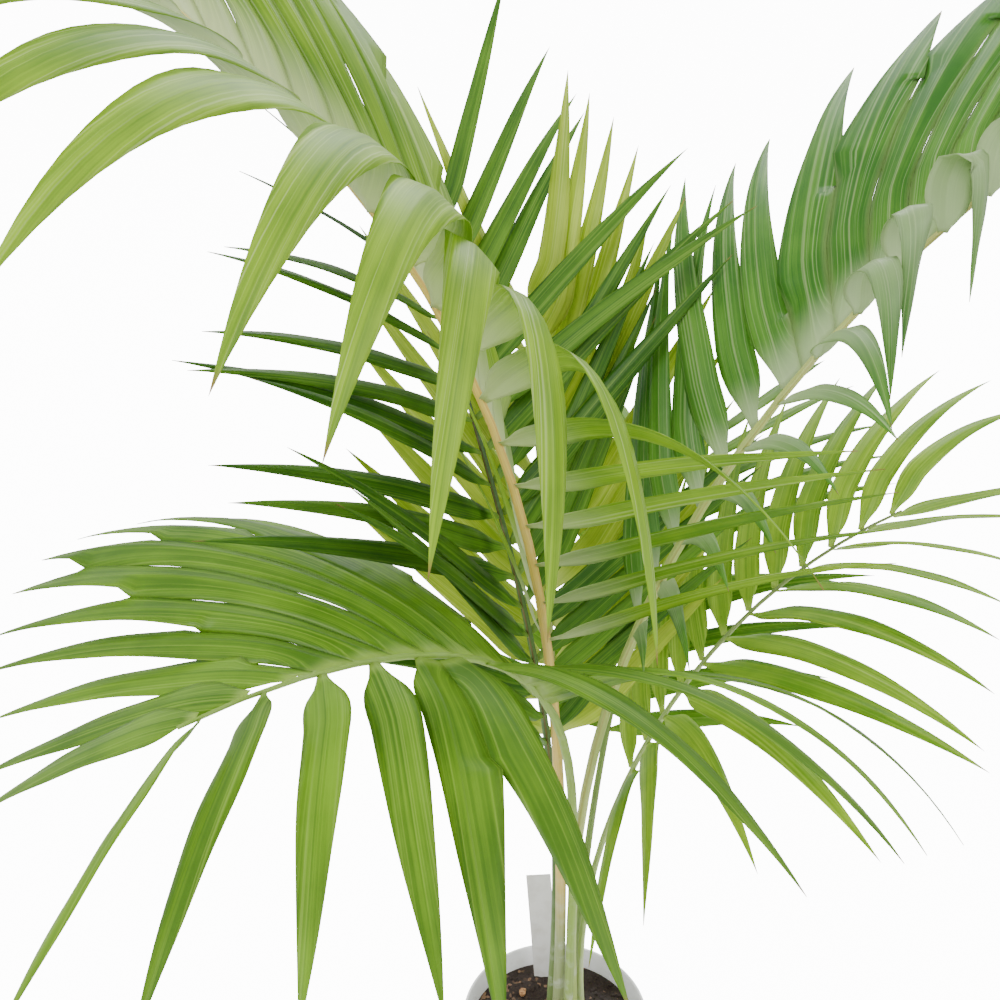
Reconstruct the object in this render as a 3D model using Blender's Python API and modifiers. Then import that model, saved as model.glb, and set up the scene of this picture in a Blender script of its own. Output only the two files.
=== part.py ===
"""A young palm in a round white nursery pot: pot, soil, bark chips, label and seven fronds.

Metres, +Z up. The origin is the middle of the pot's flat underside, +X is to the
viewer's right and -Y is towards the viewer. Every frond is three pieces: its midrib,
which is the leaf stalk and the rib in one, and the leaflets on its left and its right
hand, looking from the soil towards the tip with the upper face on top.
"""
import math
import random

import bpy
import numpy as np
from mathutils import Vector
from mathutils.bvhtree import BVHTree

# Pot
POT_HEIGHT = 0.165
POT_RIM_RADIUS = 0.090
POT_FOOT_RADIUS = 0.062
POT_WALL = 0.0024
POT_FLOOR = 0.0030
RIM_BAND_HEIGHT = 0.018
RIM_BAND_STEP = 0.0030
# Bevels at the rim, at the foot outside and at the floor inside
RIM_LIP = 0.0015
FOOT_BEVEL = 0.004
FOOT_BEVEL_HEIGHT = 0.006
FLOOR_BEVEL = 0.004
POT_SIDES = 48
DRAIN_HOLES = 6
DRAIN_HOLE_RADIUS = 0.005
DRAIN_RING_RADIUS = 0.040

# Soil and what stands in it
SOIL_BELOW_RIM = 0.020
SOIL_CROWN = 0.002
PIECE_GAP = 0.0003
ROOT_CLEARANCE = 0.0006
STALK_DEPTH = 0.030
# How far above the soil the cutter for a stalk's hole reaches
ROOT_CUT_ABOVE = 0.020
LABEL_WIDTH = 0.024
LABEL_THICKNESS = 0.0009
LABEL_ABOVE_SOIL = 0.140
LABEL_IN_SOIL = 0.040
LABEL_POINT = 0.022
# How far inside the rim the label stands
LABEL_SET_IN = 0.024
LABEL_LEAN = 4.0
# Where the label stands across the pot, and half the width of its blunt point
LABEL_ASIDE = -0.004
LABEL_POINT_HALF = 0.002
CHIP_SIZES = (0.013, 0.010, 0.009, 0.011, 0.008, 0.012, 0.009)
CHIP_ANGLES = (125, 62, 20, 205, 250, 300, 345)
# How much narrower and how much flatter a chip is than it is long
CHIP_NARROWER = 0.62
CHIP_FLATTER = 0.42
# How far inside the rim the ring of bark chips lies
CHIP_SET_IN = 0.032

# Fronds: one length factor scales the whole crown of leaves
CROWN_SCALE = 1.0
LEAF_THICKNESS = 0.0008
LEAF_CLEARANCE = 0.0009
STALK_CLEARANCE = 0.0018
# Sides of the tube that stands for a stalk when leaflets are laid clear of it
TUBE_SIDES = 6
SAME_FROND_CLEARANCE = 0.0001
SEAT_CLEARANCE = 0.0006
SEAT_WIDTH = 0.0020
# The most of the space between two leaflets that each half of a seat may take
SEAT_SHARE = 0.38
MIDRIB_STEPS = 22
MIDRIB_TIP_RADIUS = 0.0013
# The share of the bare stalk over which its sheathing base narrows by half
SHEATH_SHARE = 0.25
LAST_LEAFLET_AT = 0.985
WIDEST_AT = 0.22
BASE_NARROWING = 0.6
# The outline at the foot is as wide as it would be this share further on
FOOT_SWELL = 0.06
TIP_NARROWING = 2.0
TIP_SHARPNESS = 1.05
# Shares of a leaflet's length at which its outline has points, and the steps of its bend
ROWS = (0.0, 0.10, 0.32, 0.56, 0.80, 1.0)
BEND_STEPS = 20
# Each leaflet's margin nearer the tip of the frond is turned down by this many degrees,
# from the lowest leaflet to the highest, so that neighbours lie over each other like slats
SLAT_TURN = (18, 24, 38)

# Each frond is traced from the soil. Angles are degrees: lift is the slope at the soil,
# arch is how far the slope has dropped at the tip, heading is 0 towards +X and 90 towards
# +Y, and sway is how far the heading has turned at the tip. Lists run from the lowest
# leaflet to the highest: angle is from the midrib, rise is above the frond's plane, sag is
# how strongly a leaflet bends down and sweep how strongly it bends towards the frond's tip.
# Joined is the share of their length for which neighbours are still one pleated blade.
FRONDS = {
    "arching": dict(
        start=(0.002, 0.000), base_radius=0.0062, stalk_radius=0.0042,
        lift=84.5, arch=68, power=2.95, heading=-84, sway=-111, length=1.22, blade_from=0.42,
        colour=(0.55, 0.52, 0.22),
        left=dict(count=19, angle=(50, 56, 60, 46, 54, 56, 60, 35, 24), rise=(8, 8, 4, 30, 16, 11, 9, 8, 5),
                  sag=(0.3, 0.1, 0.1, 4.4, 2.8, 1.7, 0.9, 0.6, 0.5), sag_power=1.5,
                  sweep=(0.0, 0.0, 0.0, 0.6, 1.1, 0.5, 0.1, 0.0, 0.0),
                  length=(0.32, 0.34, 0.36, 0.34, 0.36, 0.37, 0.33, 0.28, 0.20),
                  width=(0.014, 0.017, 0.020, 0.038, 0.050, 0.048, 0.038, 0.028, 0.020),
                  joined=(0.0, 0.0)),
        right=dict(count=19, angle=(44, 40, 36, 32, 30, 28, 27, 26, 24),
                   rise=(30, 35, 40, 40, 35, 30, 20, 15, 10),
                   sag=(0.6, 0.7, 0.8, 0.8, 0.7, 0.6, 0.5, 0.4, 0.3), sag_power=1.0, sweep=(0.0, 0.0),
                   length=(0.22, 0.25, 0.27, 0.28, 0.28, 0.27, 0.25, 0.22, 0.18),
                   width=(0.018, 0.022, 0.024, 0.024, 0.020),
                   joined=(0.0, 0.0, 0.4, 0.8, 0.95, 0.95, 0.9, 0.7, 0.5))),
    "front_low": dict(
        start=(0.0115, -0.0175), base_radius=0.0046, stalk_radius=0.0038,
        lift=91, arch=99, power=1.9, heading=-79, sway=-68, length=0.87, blade_from=0.58,
        colour=(0.24, 0.42, 0.09),
        left=dict(count=10, angle=(70, 76, 78, 70, 62, 56, 60, 52, 46, 46),
                  rise=(36, 34, 28, 18, -4, -9, -11, 0, 16, 24),
                  sag=(1.8, 1.8, 1.5, 1.2, 1.0, 0.8, 0.2, 0.6, 0.7, 0.5), sag_power=1.0, sweep=(0.0, 0.0),
                  length=(0.37, 0.34, 0.31, 0.27, 0.26, 0.26, 0.25, 0.23, 0.23, 0.22),
                  width=(0.029, 0.029, 0.032, 0.034, 0.038, 0.038, 0.034, 0.030, 0.028, 0.026),
                  joined=(0.3, 0.2, 0.0, 0.0, 0.7, 0.0, 0.0, 0.0, 0.0)),
        right=dict(count=12, angle=(85, 78, 70, 66, 65, 62, 65, 72, 68),
                   rise=(27, 24, 20, 15, 9, 0, -12, -30, -35),
                   sag=(0.6, 0.8, 0.9, 0.9, 0.8, 0.7, 0.5, 0.2, 0.2), sag_power=1.0, sweep=(0.0, 0.0),
                   length=(0.26, 0.32, 0.35, 0.36, 0.34, 0.31, 0.30, 0.29, 0.26),
                   width=(0.034, 0.036, 0.036, 0.032, 0.026),
                   joined=(0.2, 0.3, 0.5, 0.7, 0.8, 0.6, 0.2, 0.0, 0.0))),
    "right_high": dict(
        start=(0.0172, -0.001), base_radius=0.0064, stalk_radius=0.0046,
        lift=93, arch=87, power=1.7, heading=-18, sway=53, length=1.11, blade_from=0.44,
        colour=(0.20, 0.36, 0.08),
        left=dict(count=17, angle=(45, 45, 54, 56, 42, 34, 30, 28, 24),
                  rise=(15, 28, 24, 20, 20, 12, 10, 8, 5),
                  sag=(0.3, 0.8, 1.1, 1.1, 0.8, 0.4, 0.3, 0.2, 0.1), sag_power=1.0, sweep=(0.6, 0.6),
                  length=(0.30, 0.28, 0.31, 0.33, 0.34, 0.33, 0.32, 0.28, 0.22),
                  width=(0.022, 0.025, 0.030, 0.034, 0.036, 0.036, 0.034, 0.030, 0.022),
                  joined=(0.0, 0.0, 0.0, 0.0, 0.6, 0.9, 0.95, 0.95, 0.8)),
        right=dict(count=15, angle=(60, 62, 60, 60, 58, 54, 50, 48, 40),
                   rise=(25, 28, 28, 30, 70, 88, 85, 70, 30),
                   sag=(0.6, 0.7, 0.7, 0.8, 2.2, 2.8, 2.8, 2.4, 1.2), sag_power=1.0, sweep=(0.0, 0.0),
                   length=(0.18, 0.20, 0.20, 0.19, 0.18, 0.18, 0.18, 0.18, 0.16),
                   width=(0.018, 0.020, 0.020, 0.024, 0.032, 0.036, 0.036, 0.034, 0.024),
                   joined=(0.0, 0.0))),
    "right_low": dict(
        start=(0.0275, 0.0100), base_radius=0.0042, stalk_radius=0.0028,
        lift=97, arch=78, power=1.2, heading=36, sway=-22, length=0.65, blade_from=0.48,
        colour=(0.30, 0.48, 0.12),
        left=dict(count=12, angle=(36, 40, 48, 54, 54, 46, 42, 38, 30), rise=(4, 4, 2, 2, 4, 14, 18, 18, 18),
                  sag=(1.0, 0.6, 0.4, 0.3, 0.4, 0.6, 0.7, 0.7, 0.8), sag_power=1.0, sweep=(0.4, 0.4),
                  length=(0.20, 0.24, 0.26, 0.26, 0.25, 0.26, 0.26, 0.26, 0.24),
                  width=(0.020, 0.022, 0.024, 0.024, 0.020), joined=(0.0, 0.0)),
        right=dict(count=12, angle=(72, 70, 70, 68, 62, 66, 70, 74, 60),
                   rise=(50, 42, 26, 20, 26, 32, 32, 34, 34),
                   sag=(1.6, 0.6, 0.5, 0.4, 0.6, 0.5, 0.4, 0.3, 0.3), sag_power=1.0, sweep=(0.0, 0.0),
                   length=(0.22, 0.30, 0.34, 0.35, 0.31, 0.30, 0.27, 0.28, 0.26),
                   width=(0.022, 0.026, 0.028, 0.026, 0.022), joined=(0.0, 0.0))),
    "back_young": dict(
        start=(0.0070, 0.0155), base_radius=0.0044, stalk_radius=0.0032,
        lift=88, arch=20, power=1.0, heading=106, sway=0, length=0.72, blade_from=0.46,
        colour=(0.58, 0.62, 0.16),
        left=dict(count=12, angle=(44, 38, 32, 27, 20), rise=(10, 12, 14, 12, 5),
                  sag=(0.2, 0.2, 0.2, 0.1, 0.0), sag_power=1.0, sweep=(0.0, 0.0),
                  length=(0.20, 0.25, 0.27, 0.25, 0.20), width=(0.026, 0.030, 0.026), joined=(0.0, 0.0)),
        right=dict(count=12, angle=(44, 38, 32, 27, 20), rise=(10, 12, 14, 12, 5),
                   sag=(0.2, 0.2, 0.2, 0.1, 0.0), sag_power=1.0, sweep=(0.0, 0.0),
                   length=(0.20, 0.25, 0.27, 0.25, 0.20), width=(0.026, 0.030, 0.026), joined=(0.0, 0.0))),
    "back_left": dict(
        start=(-0.0050, 0.0105), base_radius=0.0046, stalk_radius=0.0038,
        lift=92, arch=38, power=1.75, heading=199, sway=-83, length=0.80, blade_from=0.44,
        colour=(0.10, 0.24, 0.05),
        left=dict(count=17, angle=(40, 40, 44, 52, 54, 60, 64, 70, 72),
                  rise=(8, 5, 8, 13, 12, 20, 28, 40, 50),
                  sag=(0.3, 0.3, 0.3, 0.3, 0.3, 0.3, 0.3, 0.3, 0.1), sag_power=1.0, sweep=(0.0, 0.0),
                  length=(0.30, 0.33, 0.34, 0.34, 0.31, 0.32, 0.28, 0.27, 0.25),
                  width=(0.020, 0.023, 0.024, 0.022, 0.018), joined=(0.0, 0.0)),
        right=dict(count=17, angle=(60, 60, 62, 64, 64, 66, 60, 50, 28),
                   rise=(20, 25, 30, 32, 30, 10, 4, -10, -20),
                   sag=(0.2, 0.2, 0.2, 0.2, 0.2, 0.3, 0.3, 0.3, 0.3), sag_power=1.0, sweep=(0.0, 0.0),
                   length=(0.22, 0.25, 0.26, 0.26, 0.28, 0.29, 0.28, 0.27, 0.27),
                   width=(0.020, 0.023, 0.024, 0.022, 0.018), joined=(0.0, 0.0))),
    "back_right": dict(
        start=(0.0175, 0.0155), base_radius=0.0044, stalk_radius=0.0032,
        lift=84, arch=60, power=1.3, heading=75, sway=-15, length=0.62, blade_from=0.50,
        colour=(0.16, 0.34, 0.07),
        left=dict(count=10, angle=(60, 55, 50, 45, 20), rise=(15, 15, 15, 10, 5),
                  sag=(0.6, 0.6, 0.5, 0.5, 0.4), sag_power=1.0, sweep=(0.0, 0.0),
                  length=(0.18, 0.22, 0.24, 0.22, 0.18), width=(0.022, 0.022), joined=(0.0, 0.0)),
        right=dict(count=10, angle=(60, 55, 50, 45, 20), rise=(15, 15, 15, 10, 5),
                   sag=(0.6, 0.6, 0.5, 0.5, 0.4), sag_power=1.0, sweep=(0.0, 0.0),
                   length=(0.18, 0.22, 0.24, 0.22, 0.18), width=(0.022, 0.022), joined=(0.0, 0.0))),
}

# How far a leaflet may lean aside, in degrees of angle and of rise, and then how much
# shorter it may be, so that it stays clear of what is already in its way
LEAN_STEP = 5
LEAN_MOST = 25
SHORTER = (1.0, 0.85, 0.7, 0.55, 0.4, 0.25)
# Neighbours joined for less than this share of their length count as free
JOINED_LEAST = 0.1
# How far a seam between joined leaflets lies below their ribs, and how lobes run in past it
PLEAT_DEPTH = 0.0022
LOBE_TAPER = 0.85

DOWN = np.array((0.0, 0.0, -1.0))
SOIL_LEVEL = POT_HEIGHT - SOIL_BELOW_RIM


def clear_scene():
    for item in list(bpy.data.objects):
        bpy.data.objects.remove(item, do_unlink=True)


def new_collection(name):
    group = bpy.data.collections.new(name)
    bpy.context.scene.collection.children.link(group)
    return group


def make_material(name, colour, roughness):
    material = bpy.data.materials.new(name)
    material.use_nodes = True
    shader = material.node_tree.nodes["Principled BSDF"]
    shader.inputs["Base Color"].default_value = (*colour, 1.0)
    shader.inputs["Roughness"].default_value = roughness
    shader.inputs["Metallic"].default_value = 0.0
    material.diffuse_color = (*colour, 1.0)
    return material


def mesh_object(name, verts, faces, group):
    mesh = bpy.data.meshes.new(name)
    mesh.from_pydata([tuple(map(float, vert)) for vert in verts], [], faces)
    item = bpy.data.objects.new(name, mesh)
    group.objects.link(item)
    return item


def turned_object(name, profile, sides, group):
    """A profile of (radius, height) points turned about Z."""
    verts = [(radius, 0.0, height) for radius, height in profile]
    mesh = bpy.data.meshes.new(name)
    mesh.from_pydata(verts, [(i, i + 1) for i in range(len(verts) - 1)], [])
    item = bpy.data.objects.new(name, mesh)
    group.objects.link(item)
    screw = item.modifiers.new("turned", "SCREW")
    screw.steps = sides
    screw.render_steps = sides
    screw.use_merge_vertices = True
    screw.merge_threshold = 0.00001
    screw.use_smooth_shade = True
    return item


def cut(item, cutter):
    difference = item.modifiers.new("cut", "BOOLEAN")
    difference.operation = "DIFFERENCE"
    difference.solver = "EXACT"
    difference.object = cutter


def hide_cutter(item):
    item.hide_render = True
    item.display_type = "WIRE"


def unit(vectors):
    vectors = np.asarray(vectors, float)
    return vectors / np.maximum(np.linalg.norm(vectors, axis=-1, keepdims=True), 1e-9)


def knots(share, values):
    """The value at a share of the way along an evenly spaced list."""
    return float(np.interp(share, np.linspace(0.0, 1.0, len(values)), values))


def outer_radius(height):
    """The pot's outer wall below its rim band."""
    top = POT_RIM_RADIUS - RIM_BAND_STEP
    share = height / (POT_HEIGHT - RIM_BAND_HEIGHT)
    return POT_FOOT_RADIUS + (top - POT_FOOT_RADIUS) * min(share, 1.0)


def inner_radius(height):
    return outer_radius(height) - POT_WALL


def make_pot(group, cutters):
    band_foot = POT_HEIGHT - RIM_BAND_HEIGHT
    profile = [(0.0, POT_FLOOR)]
    profile += [(inner_radius(POT_FLOOR) - FLOOR_BEVEL, POT_FLOOR)]
    profile += [(inner_radius(POT_FLOOR + FLOOR_BEVEL), POT_FLOOR + FLOOR_BEVEL)]
    profile += [(inner_radius(band_foot), band_foot)]
    profile += [(POT_RIM_RADIUS - POT_WALL - RIM_LIP, POT_HEIGHT - 2 * RIM_LIP)]
    profile += [(POT_RIM_RADIUS - POT_WALL, POT_HEIGHT - 0.4 * RIM_LIP)]
    profile += [(POT_RIM_RADIUS - 0.5 * POT_WALL, POT_HEIGHT)]
    profile += [(POT_RIM_RADIUS, POT_HEIGHT - RIM_LIP)]
    profile += [(POT_RIM_RADIUS, band_foot + RIM_LIP)]
    profile += [(outer_radius(band_foot), band_foot - RIM_LIP)]
    profile += [(outer_radius(FOOT_BEVEL_HEIGHT), FOOT_BEVEL_HEIGHT)]
    profile += [(POT_FOOT_RADIUS - FOOT_BEVEL, 0.0)]
    profile += [(0.0, 0.0)]
    pot = turned_object("pot", profile, POT_SIDES, group)
    for index in range(DRAIN_HOLES):
        angle = 2 * math.pi * index / DRAIN_HOLES
        place = (DRAIN_RING_RADIUS * math.cos(angle), DRAIN_RING_RADIUS * math.sin(angle), POT_FLOOR / 2)
        bpy.ops.mesh.primitive_cylinder_add(vertices=16, radius=DRAIN_HOLE_RADIUS,
                                            depth=POT_FLOOR * 3, location=place)
        cutter = bpy.context.object
        cutter.name = f"drain_cutter_{index + 1}"
        for old in list(cutter.users_collection):
            old.objects.unlink(cutter)
        cutters.objects.link(cutter)
        hide_cutter(cutter)
        cut(pot, cutter)
    pot.data.materials.append(make_material("white_plastic", (0.86, 0.87, 0.86), 0.25))
    return pot


def make_soil(group):
    fit = POT_WALL + PIECE_GAP
    foot = POT_FLOOR + PIECE_GAP
    top = SOIL_LEVEL
    band_foot = POT_HEIGHT - RIM_BAND_HEIGHT
    edge = min(top - SOIL_CROWN, band_foot)
    profile = [(0.0, top)]
    profile += [(0.6 * inner_radius(edge), top - 0.3 * SOIL_CROWN)]
    profile += [(outer_radius(edge) - fit, edge)]
    profile += [(outer_radius(foot + 2 * FLOOR_BEVEL) - fit, foot + 2 * FLOOR_BEVEL)]
    profile += [(outer_radius(foot) - fit - 1.5 * FLOOR_BEVEL, foot)]
    profile += [(0.0, foot)]
    soil = turned_object("soil", profile, POT_SIDES, group)
    soil.data.materials.append(make_material("potting_soil", (0.035, 0.024, 0.017), 0.95))
    return soil


def label_frame():
    """The foot of the label, and its directions across, up and through."""
    lean = math.radians(LABEL_LEAN)
    foot = np.array((LABEL_ASIDE, POT_RIM_RADIUS - LABEL_SET_IN, SOIL_LEVEL - LABEL_IN_SOIL))
    across = np.array((math.cos(lean), 0.0, math.sin(lean)))
    upward = np.array((-math.sin(lean), 0.0, math.cos(lean)))
    return foot, across, upward, np.array((0.0, 1.0, 0.0))


def label_solid(name, group, grow):
    """The flat pointed label, or the same shape grown all round as the slot for it."""
    foot, across, upward, through = label_frame()
    tall = LABEL_ABOVE_SOIL + LABEL_IN_SOIL
    half = LABEL_WIDTH / 2 + grow
    outline = [(LABEL_POINT_HALF + grow, -grow), (half, LABEL_POINT), (half, tall + grow)]
    outline += [(-half, tall + grow), (-half, LABEL_POINT), (-LABEL_POINT_HALF - grow, -grow)]
    depth = LABEL_THICKNESS / 2 + grow
    verts = [foot + across * x + upward * z + through * side * depth
             for side in (-1, 1) for x, z in outline]
    count = len(outline)
    faces = [tuple(range(count)), tuple(reversed(range(count, 2 * count)))]
    faces += [((i + 1) % count, i, count + i, count + (i + 1) % count) for i in range(count)]
    return mesh_object(name, verts, faces, group)


def make_label(group, cutters, soil):
    label = label_solid("plant_label", group, 0.0)
    label.data.materials.append(make_material("label_plastic", (0.85, 0.85, 0.84), 0.4))
    slot = label_solid("label_slot_cutter", cutters, PIECE_GAP)
    hide_cutter(slot)
    cut(soil, slot)
    return label


def make_chips(group):
    """Bark chips lying loose on the soil."""
    chance = random.Random(11)
    bark = make_material("bark", (0.46, 0.30, 0.17), 0.9)
    for index, (size, turn) in enumerate(zip(CHIP_SIZES, CHIP_ANGLES)):
        angle = math.radians(turn)
        bpy.ops.mesh.primitive_ico_sphere_add(subdivisions=1, radius=size / 2)
        chip = bpy.context.object
        chip.name = f"bark_chip_{index + 1}"
        for old in list(chip.users_collection):
            old.objects.unlink(chip)
        group.objects.link(chip)
        for vert in chip.data.vertices:
            vert.co *= chance.uniform(0.85, 1.15)
            vert.co.y *= CHIP_NARROWER
            vert.co.z *= CHIP_FLATTER
        low = min(vert.co.z for vert in chip.data.vertices)
        ring = (POT_RIM_RADIUS - CHIP_SET_IN) * chance.uniform(0.92, 1.05)
        height = SOIL_LEVEL + PIECE_GAP - low
        chip.location = (ring * math.cos(angle), ring * math.sin(angle), height)
        chip.rotation_euler = (0.0, 0.0, chance.uniform(0.0, math.pi))
        chip.data.materials.append(bark)


def midrib_line(frond):
    """Shares, points and the directions along, rightwards and upwards of a midrib."""
    share = np.linspace(0.0, 1.0, MIDRIB_STEPS + 1)
    slope = np.radians(frond["lift"] - frond["arch"] * share ** frond["power"])
    course = np.radians(frond["heading"] + frond["sway"] * share)
    along = np.stack([np.cos(slope) * np.cos(course), np.cos(slope) * np.sin(course), np.sin(slope)], 1)
    above = np.stack([-np.sin(slope) * np.cos(course), -np.sin(slope) * np.sin(course), np.cos(slope)], 1)
    right = np.stack([np.sin(course), -np.cos(course), 0 * course], 1)
    step = frond["length"] * CROWN_SCALE / MIDRIB_STEPS
    start = np.array((*(CROWN_SCALE * place for place in frond["start"]), SOIL_LEVEL))
    points = start + np.vstack([np.zeros(3), np.cumsum((along[1:] + along[:-1]) / 2 * step, axis=0)])
    return share, points, along, right, above


def sampled(share, fine, values):
    """Rows of a table of vectors read at the given shares."""
    return np.stack([np.interp(share, fine, values[:, axis]) for axis in range(3)], -1)


def at_share(line, where):
    """The point and directions at a share of the midrib's length."""
    point, along, right, above = (sampled(where, line[0], values) for values in line[1:])
    return point, unit(along), unit(right), unit(above)


def midrib_radius(frond, where):
    """A stout sheathing base, a stalk, and a rib that runs out at the tip."""
    shares = (0.0, SHEATH_SHARE * frond["blade_from"], frond["blade_from"], 1.0)
    middle = (frond["base_radius"] + frond["stalk_radius"]) / 2
    radii = (frond["base_radius"], middle, frond["stalk_radius"], MIDRIB_TIP_RADIUS)
    return CROWN_SCALE * float(np.interp(where, shares, radii))


def make_midrib(name, frond, group):
    share, points, along, _, _ = midrib_line(frond)
    root = points[0] - along[0] * STALK_DEPTH
    path = [root] + list(points)
    radii = [midrib_radius(frond, where) for where in (0.0, *share)]
    curve = bpy.data.curves.new(name, "CURVE")
    curve.dimensions = "3D"
    curve.bevel_depth = 1.0
    curve.bevel_resolution = 2
    curve.use_fill_caps = True
    spline = curve.splines.new("POLY")
    spline.points.add(len(path) - 1)
    for point, place, radius in zip(spline.points, path, radii):
        point.co = (*place, 1.0)
        point.radius = radius
    item = bpy.data.objects.new(name, curve)
    group.objects.link(item)
    item.data.materials.append(make_material(name, frond["colour"], 0.5))
    return item


def cut_root_hole(name, frond, soil, cutters):
    """The hole in the soil that one stalk stands in."""
    _, points, along, _, _ = midrib_line(frond)
    low = points[0] - along[0] * (STALK_DEPTH + ROOT_CLEARANCE)
    high = points[0] + along[0] * ROOT_CUT_ABOVE
    axis = Vector(high - low)
    bpy.ops.mesh.primitive_cylinder_add(vertices=12, radius=midrib_radius(frond, 0.0) + ROOT_CLEARANCE,
                                        depth=axis.length, location=Vector((low + high) / 2))
    cutter = bpy.context.object
    cutter.rotation_euler = axis.to_track_quat("Z", "Y").to_euler()
    cutter.name = f"{name}_root_cutter"
    for old in list(cutter.users_collection):
        old.objects.unlink(cutter)
    cutters.objects.link(cutter)
    hide_cutter(cutter)
    cut(soil, cutter)


def leans():
    """Every lean of (angle, rise) in degrees, the smallest first."""
    steps = range(-LEAN_MOST, LEAN_MOST + 1, LEAN_STEP)
    pairs = [(turn, tilt) for turn in steps for tilt in steps]
    return sorted(pairs, key=lambda lean: abs(lean[0]) + abs(lean[1]))


def leaflet_shape(frond, line, side, hand, place, lean, shorter):
    """Centre points, width directions and widths of one leaflet.

    place is the leaflet's share of the way from the lowest leaflet to the highest.
    """
    where = frond["blade_from"] + (LAST_LEAFLET_AT - frond["blade_from"]) * place
    point, along, right, above = at_share(line, where)
    outward = right * hand
    angle = math.radians(knots(place, side["angle"]) + lean[0])
    rise = math.radians(knots(place, side["rise"]) + lean[1])
    seat = midrib_radius(frond, where) + SEAT_CLEARANCE + SEAT_WIDTH
    point = point + outward * seat
    first = math.cos(angle) * along + math.sin(angle) * (outward * math.cos(rise) + above * math.sin(rise))
    reach = knots(place, side["length"]) * CROWN_SCALE * shorter
    fine = np.linspace(0.0, 1.0, BEND_STEPS + 1)
    droop = (knots(place, side["sag"]) * fine ** side["sag_power"])[:, None] * DOWN
    bend = unit(first + droop + (knots(place, side["sweep"]) * fine)[:, None] * along)
    steps = (bend[1:] + bend[:-1]) / 2 * reach / BEND_STEPS
    path = point + np.vstack([np.zeros(3), np.cumsum(steps, axis=0)])
    share = np.array(ROWS)
    centre = sampled(share, fine, path)
    heading = unit(sampled(share, fine, bend))
    across = unit(along - heading * (heading @ along)[:, None])
    face = unit(np.cross(heading, across)) * hand
    slat = math.radians(knots(place, SLAT_TURN))
    across = across * math.cos(slat) - face * math.sin(slat)
    swell = np.minimum(1.0, (share + FOOT_SWELL) / WIDEST_AT) ** BASE_NARROWING
    width = knots(place, side["width"]) * CROWN_SCALE * swell * (1 - share ** TIP_NARROWING) ** TIP_SHARPNESS
    stand_off = math.cos(angle) ** 2 * np.minimum(1.0, share / WIDEST_AT)
    centre = centre - across * (0.5 * width * stand_off)[:, None]
    return centre, across, heading, width


def blade_edges(leaflets, joins, rows):
    """Low and high margins of each (centre, across, face, half width), joined ones in one seam."""
    rows = np.array(rows)
    edges = [[centre - across * half[:, None], centre + across * half[:, None]]
             for centre, across, _, half in leaflets]
    for index, joined in enumerate(joins):
        if joined <= JOINED_LEAST:
            continue
        low, high = leaflets[index], leaflets[index + 1]
        seam = (low[0] + high[0]) / 2 - (low[2] + high[2]) / 2 * PLEAT_DEPTH
        # Past the split each margin runs in to its own tip from where the seam ended.
        past = np.clip((rows - joined) / (1 - joined), 0.0, 1.0)
        for (centre, across, _, half), edge, hand in ((low, edges[index], 1), (high, edges[index + 1], -1)):
            ended = np.interp(joined, rows, np.linalg.norm(seam - centre, axis=1))
            lobe = np.maximum(half, ended * (1 - past) ** LOBE_TAPER)
            free = centre + hand * across * lobe[:, None]
            side = 1 if hand > 0 else 0
            edge[side] = np.where((rows <= joined)[:, None], seam, free)
    return edges


def prism(centre, across, heading, width, room):
    """A closed band with some room round a leaflet, as a tree for overlap tests."""
    through = unit(np.cross(heading, across)) * (LEAF_THICKNESS / 2 + room)
    reach = across * (width / 2 + room)[:, None]
    corners = np.stack([centre - reach - through, centre + reach - through,
                        centre + reach + through, centre - reach + through], 1)
    verts = corners.reshape(-1, 3)
    faces = [(0, 1, 2, 3)]
    for row in range(len(centre) - 1):
        low = 4 * row
        faces += [(low + k, low + (k + 1) % 4, low + 4 + (k + 1) % 4, low + 4 + k) for k in range(4)]
    last = 4 * (len(centre) - 1)
    faces += [(last, last + 1, last + 2, last + 3)]
    tree = BVHTree.FromPolygons([Vector(vert) for vert in verts], faces)
    return tree, verts.min(axis=0), verts.max(axis=0)


def tube_tree(frond, line):
    """A midrib with room to spare round it, as a tree for overlap tests."""
    share, points, _, right, above = line
    ring = np.linspace(0.0, 2 * math.pi, TUBE_SIDES, endpoint=False)
    verts = []
    for index, where in enumerate(share):
        radius = (midrib_radius(frond, where) + STALK_CLEARANCE) / math.cos(math.pi / TUBE_SIDES)
        verts += [points[index] + radius * (math.cos(turn) * right[index] + math.sin(turn) * above[index])
                  for turn in ring]
    verts = np.array(verts)
    faces = []
    for row in range(len(share) - 1):
        low, high = TUBE_SIDES * row, TUBE_SIDES * (row + 1)
        faces += [(low + k, low + (k + 1) % TUBE_SIDES, high + (k + 1) % TUBE_SIDES, high + k)
                  for k in range(TUBE_SIDES)]
    tree = BVHTree.FromPolygons([Vector(vert) for vert in verts], faces)
    return tree, verts.min(axis=0), verts.max(axis=0)


def meets(first, second):
    """Whether two trees with their boxes cross."""
    if np.any(first[1] > second[2]) or np.any(second[1] > first[2]):
        return False
    return bool(first[0].overlap(second[0]))


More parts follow.
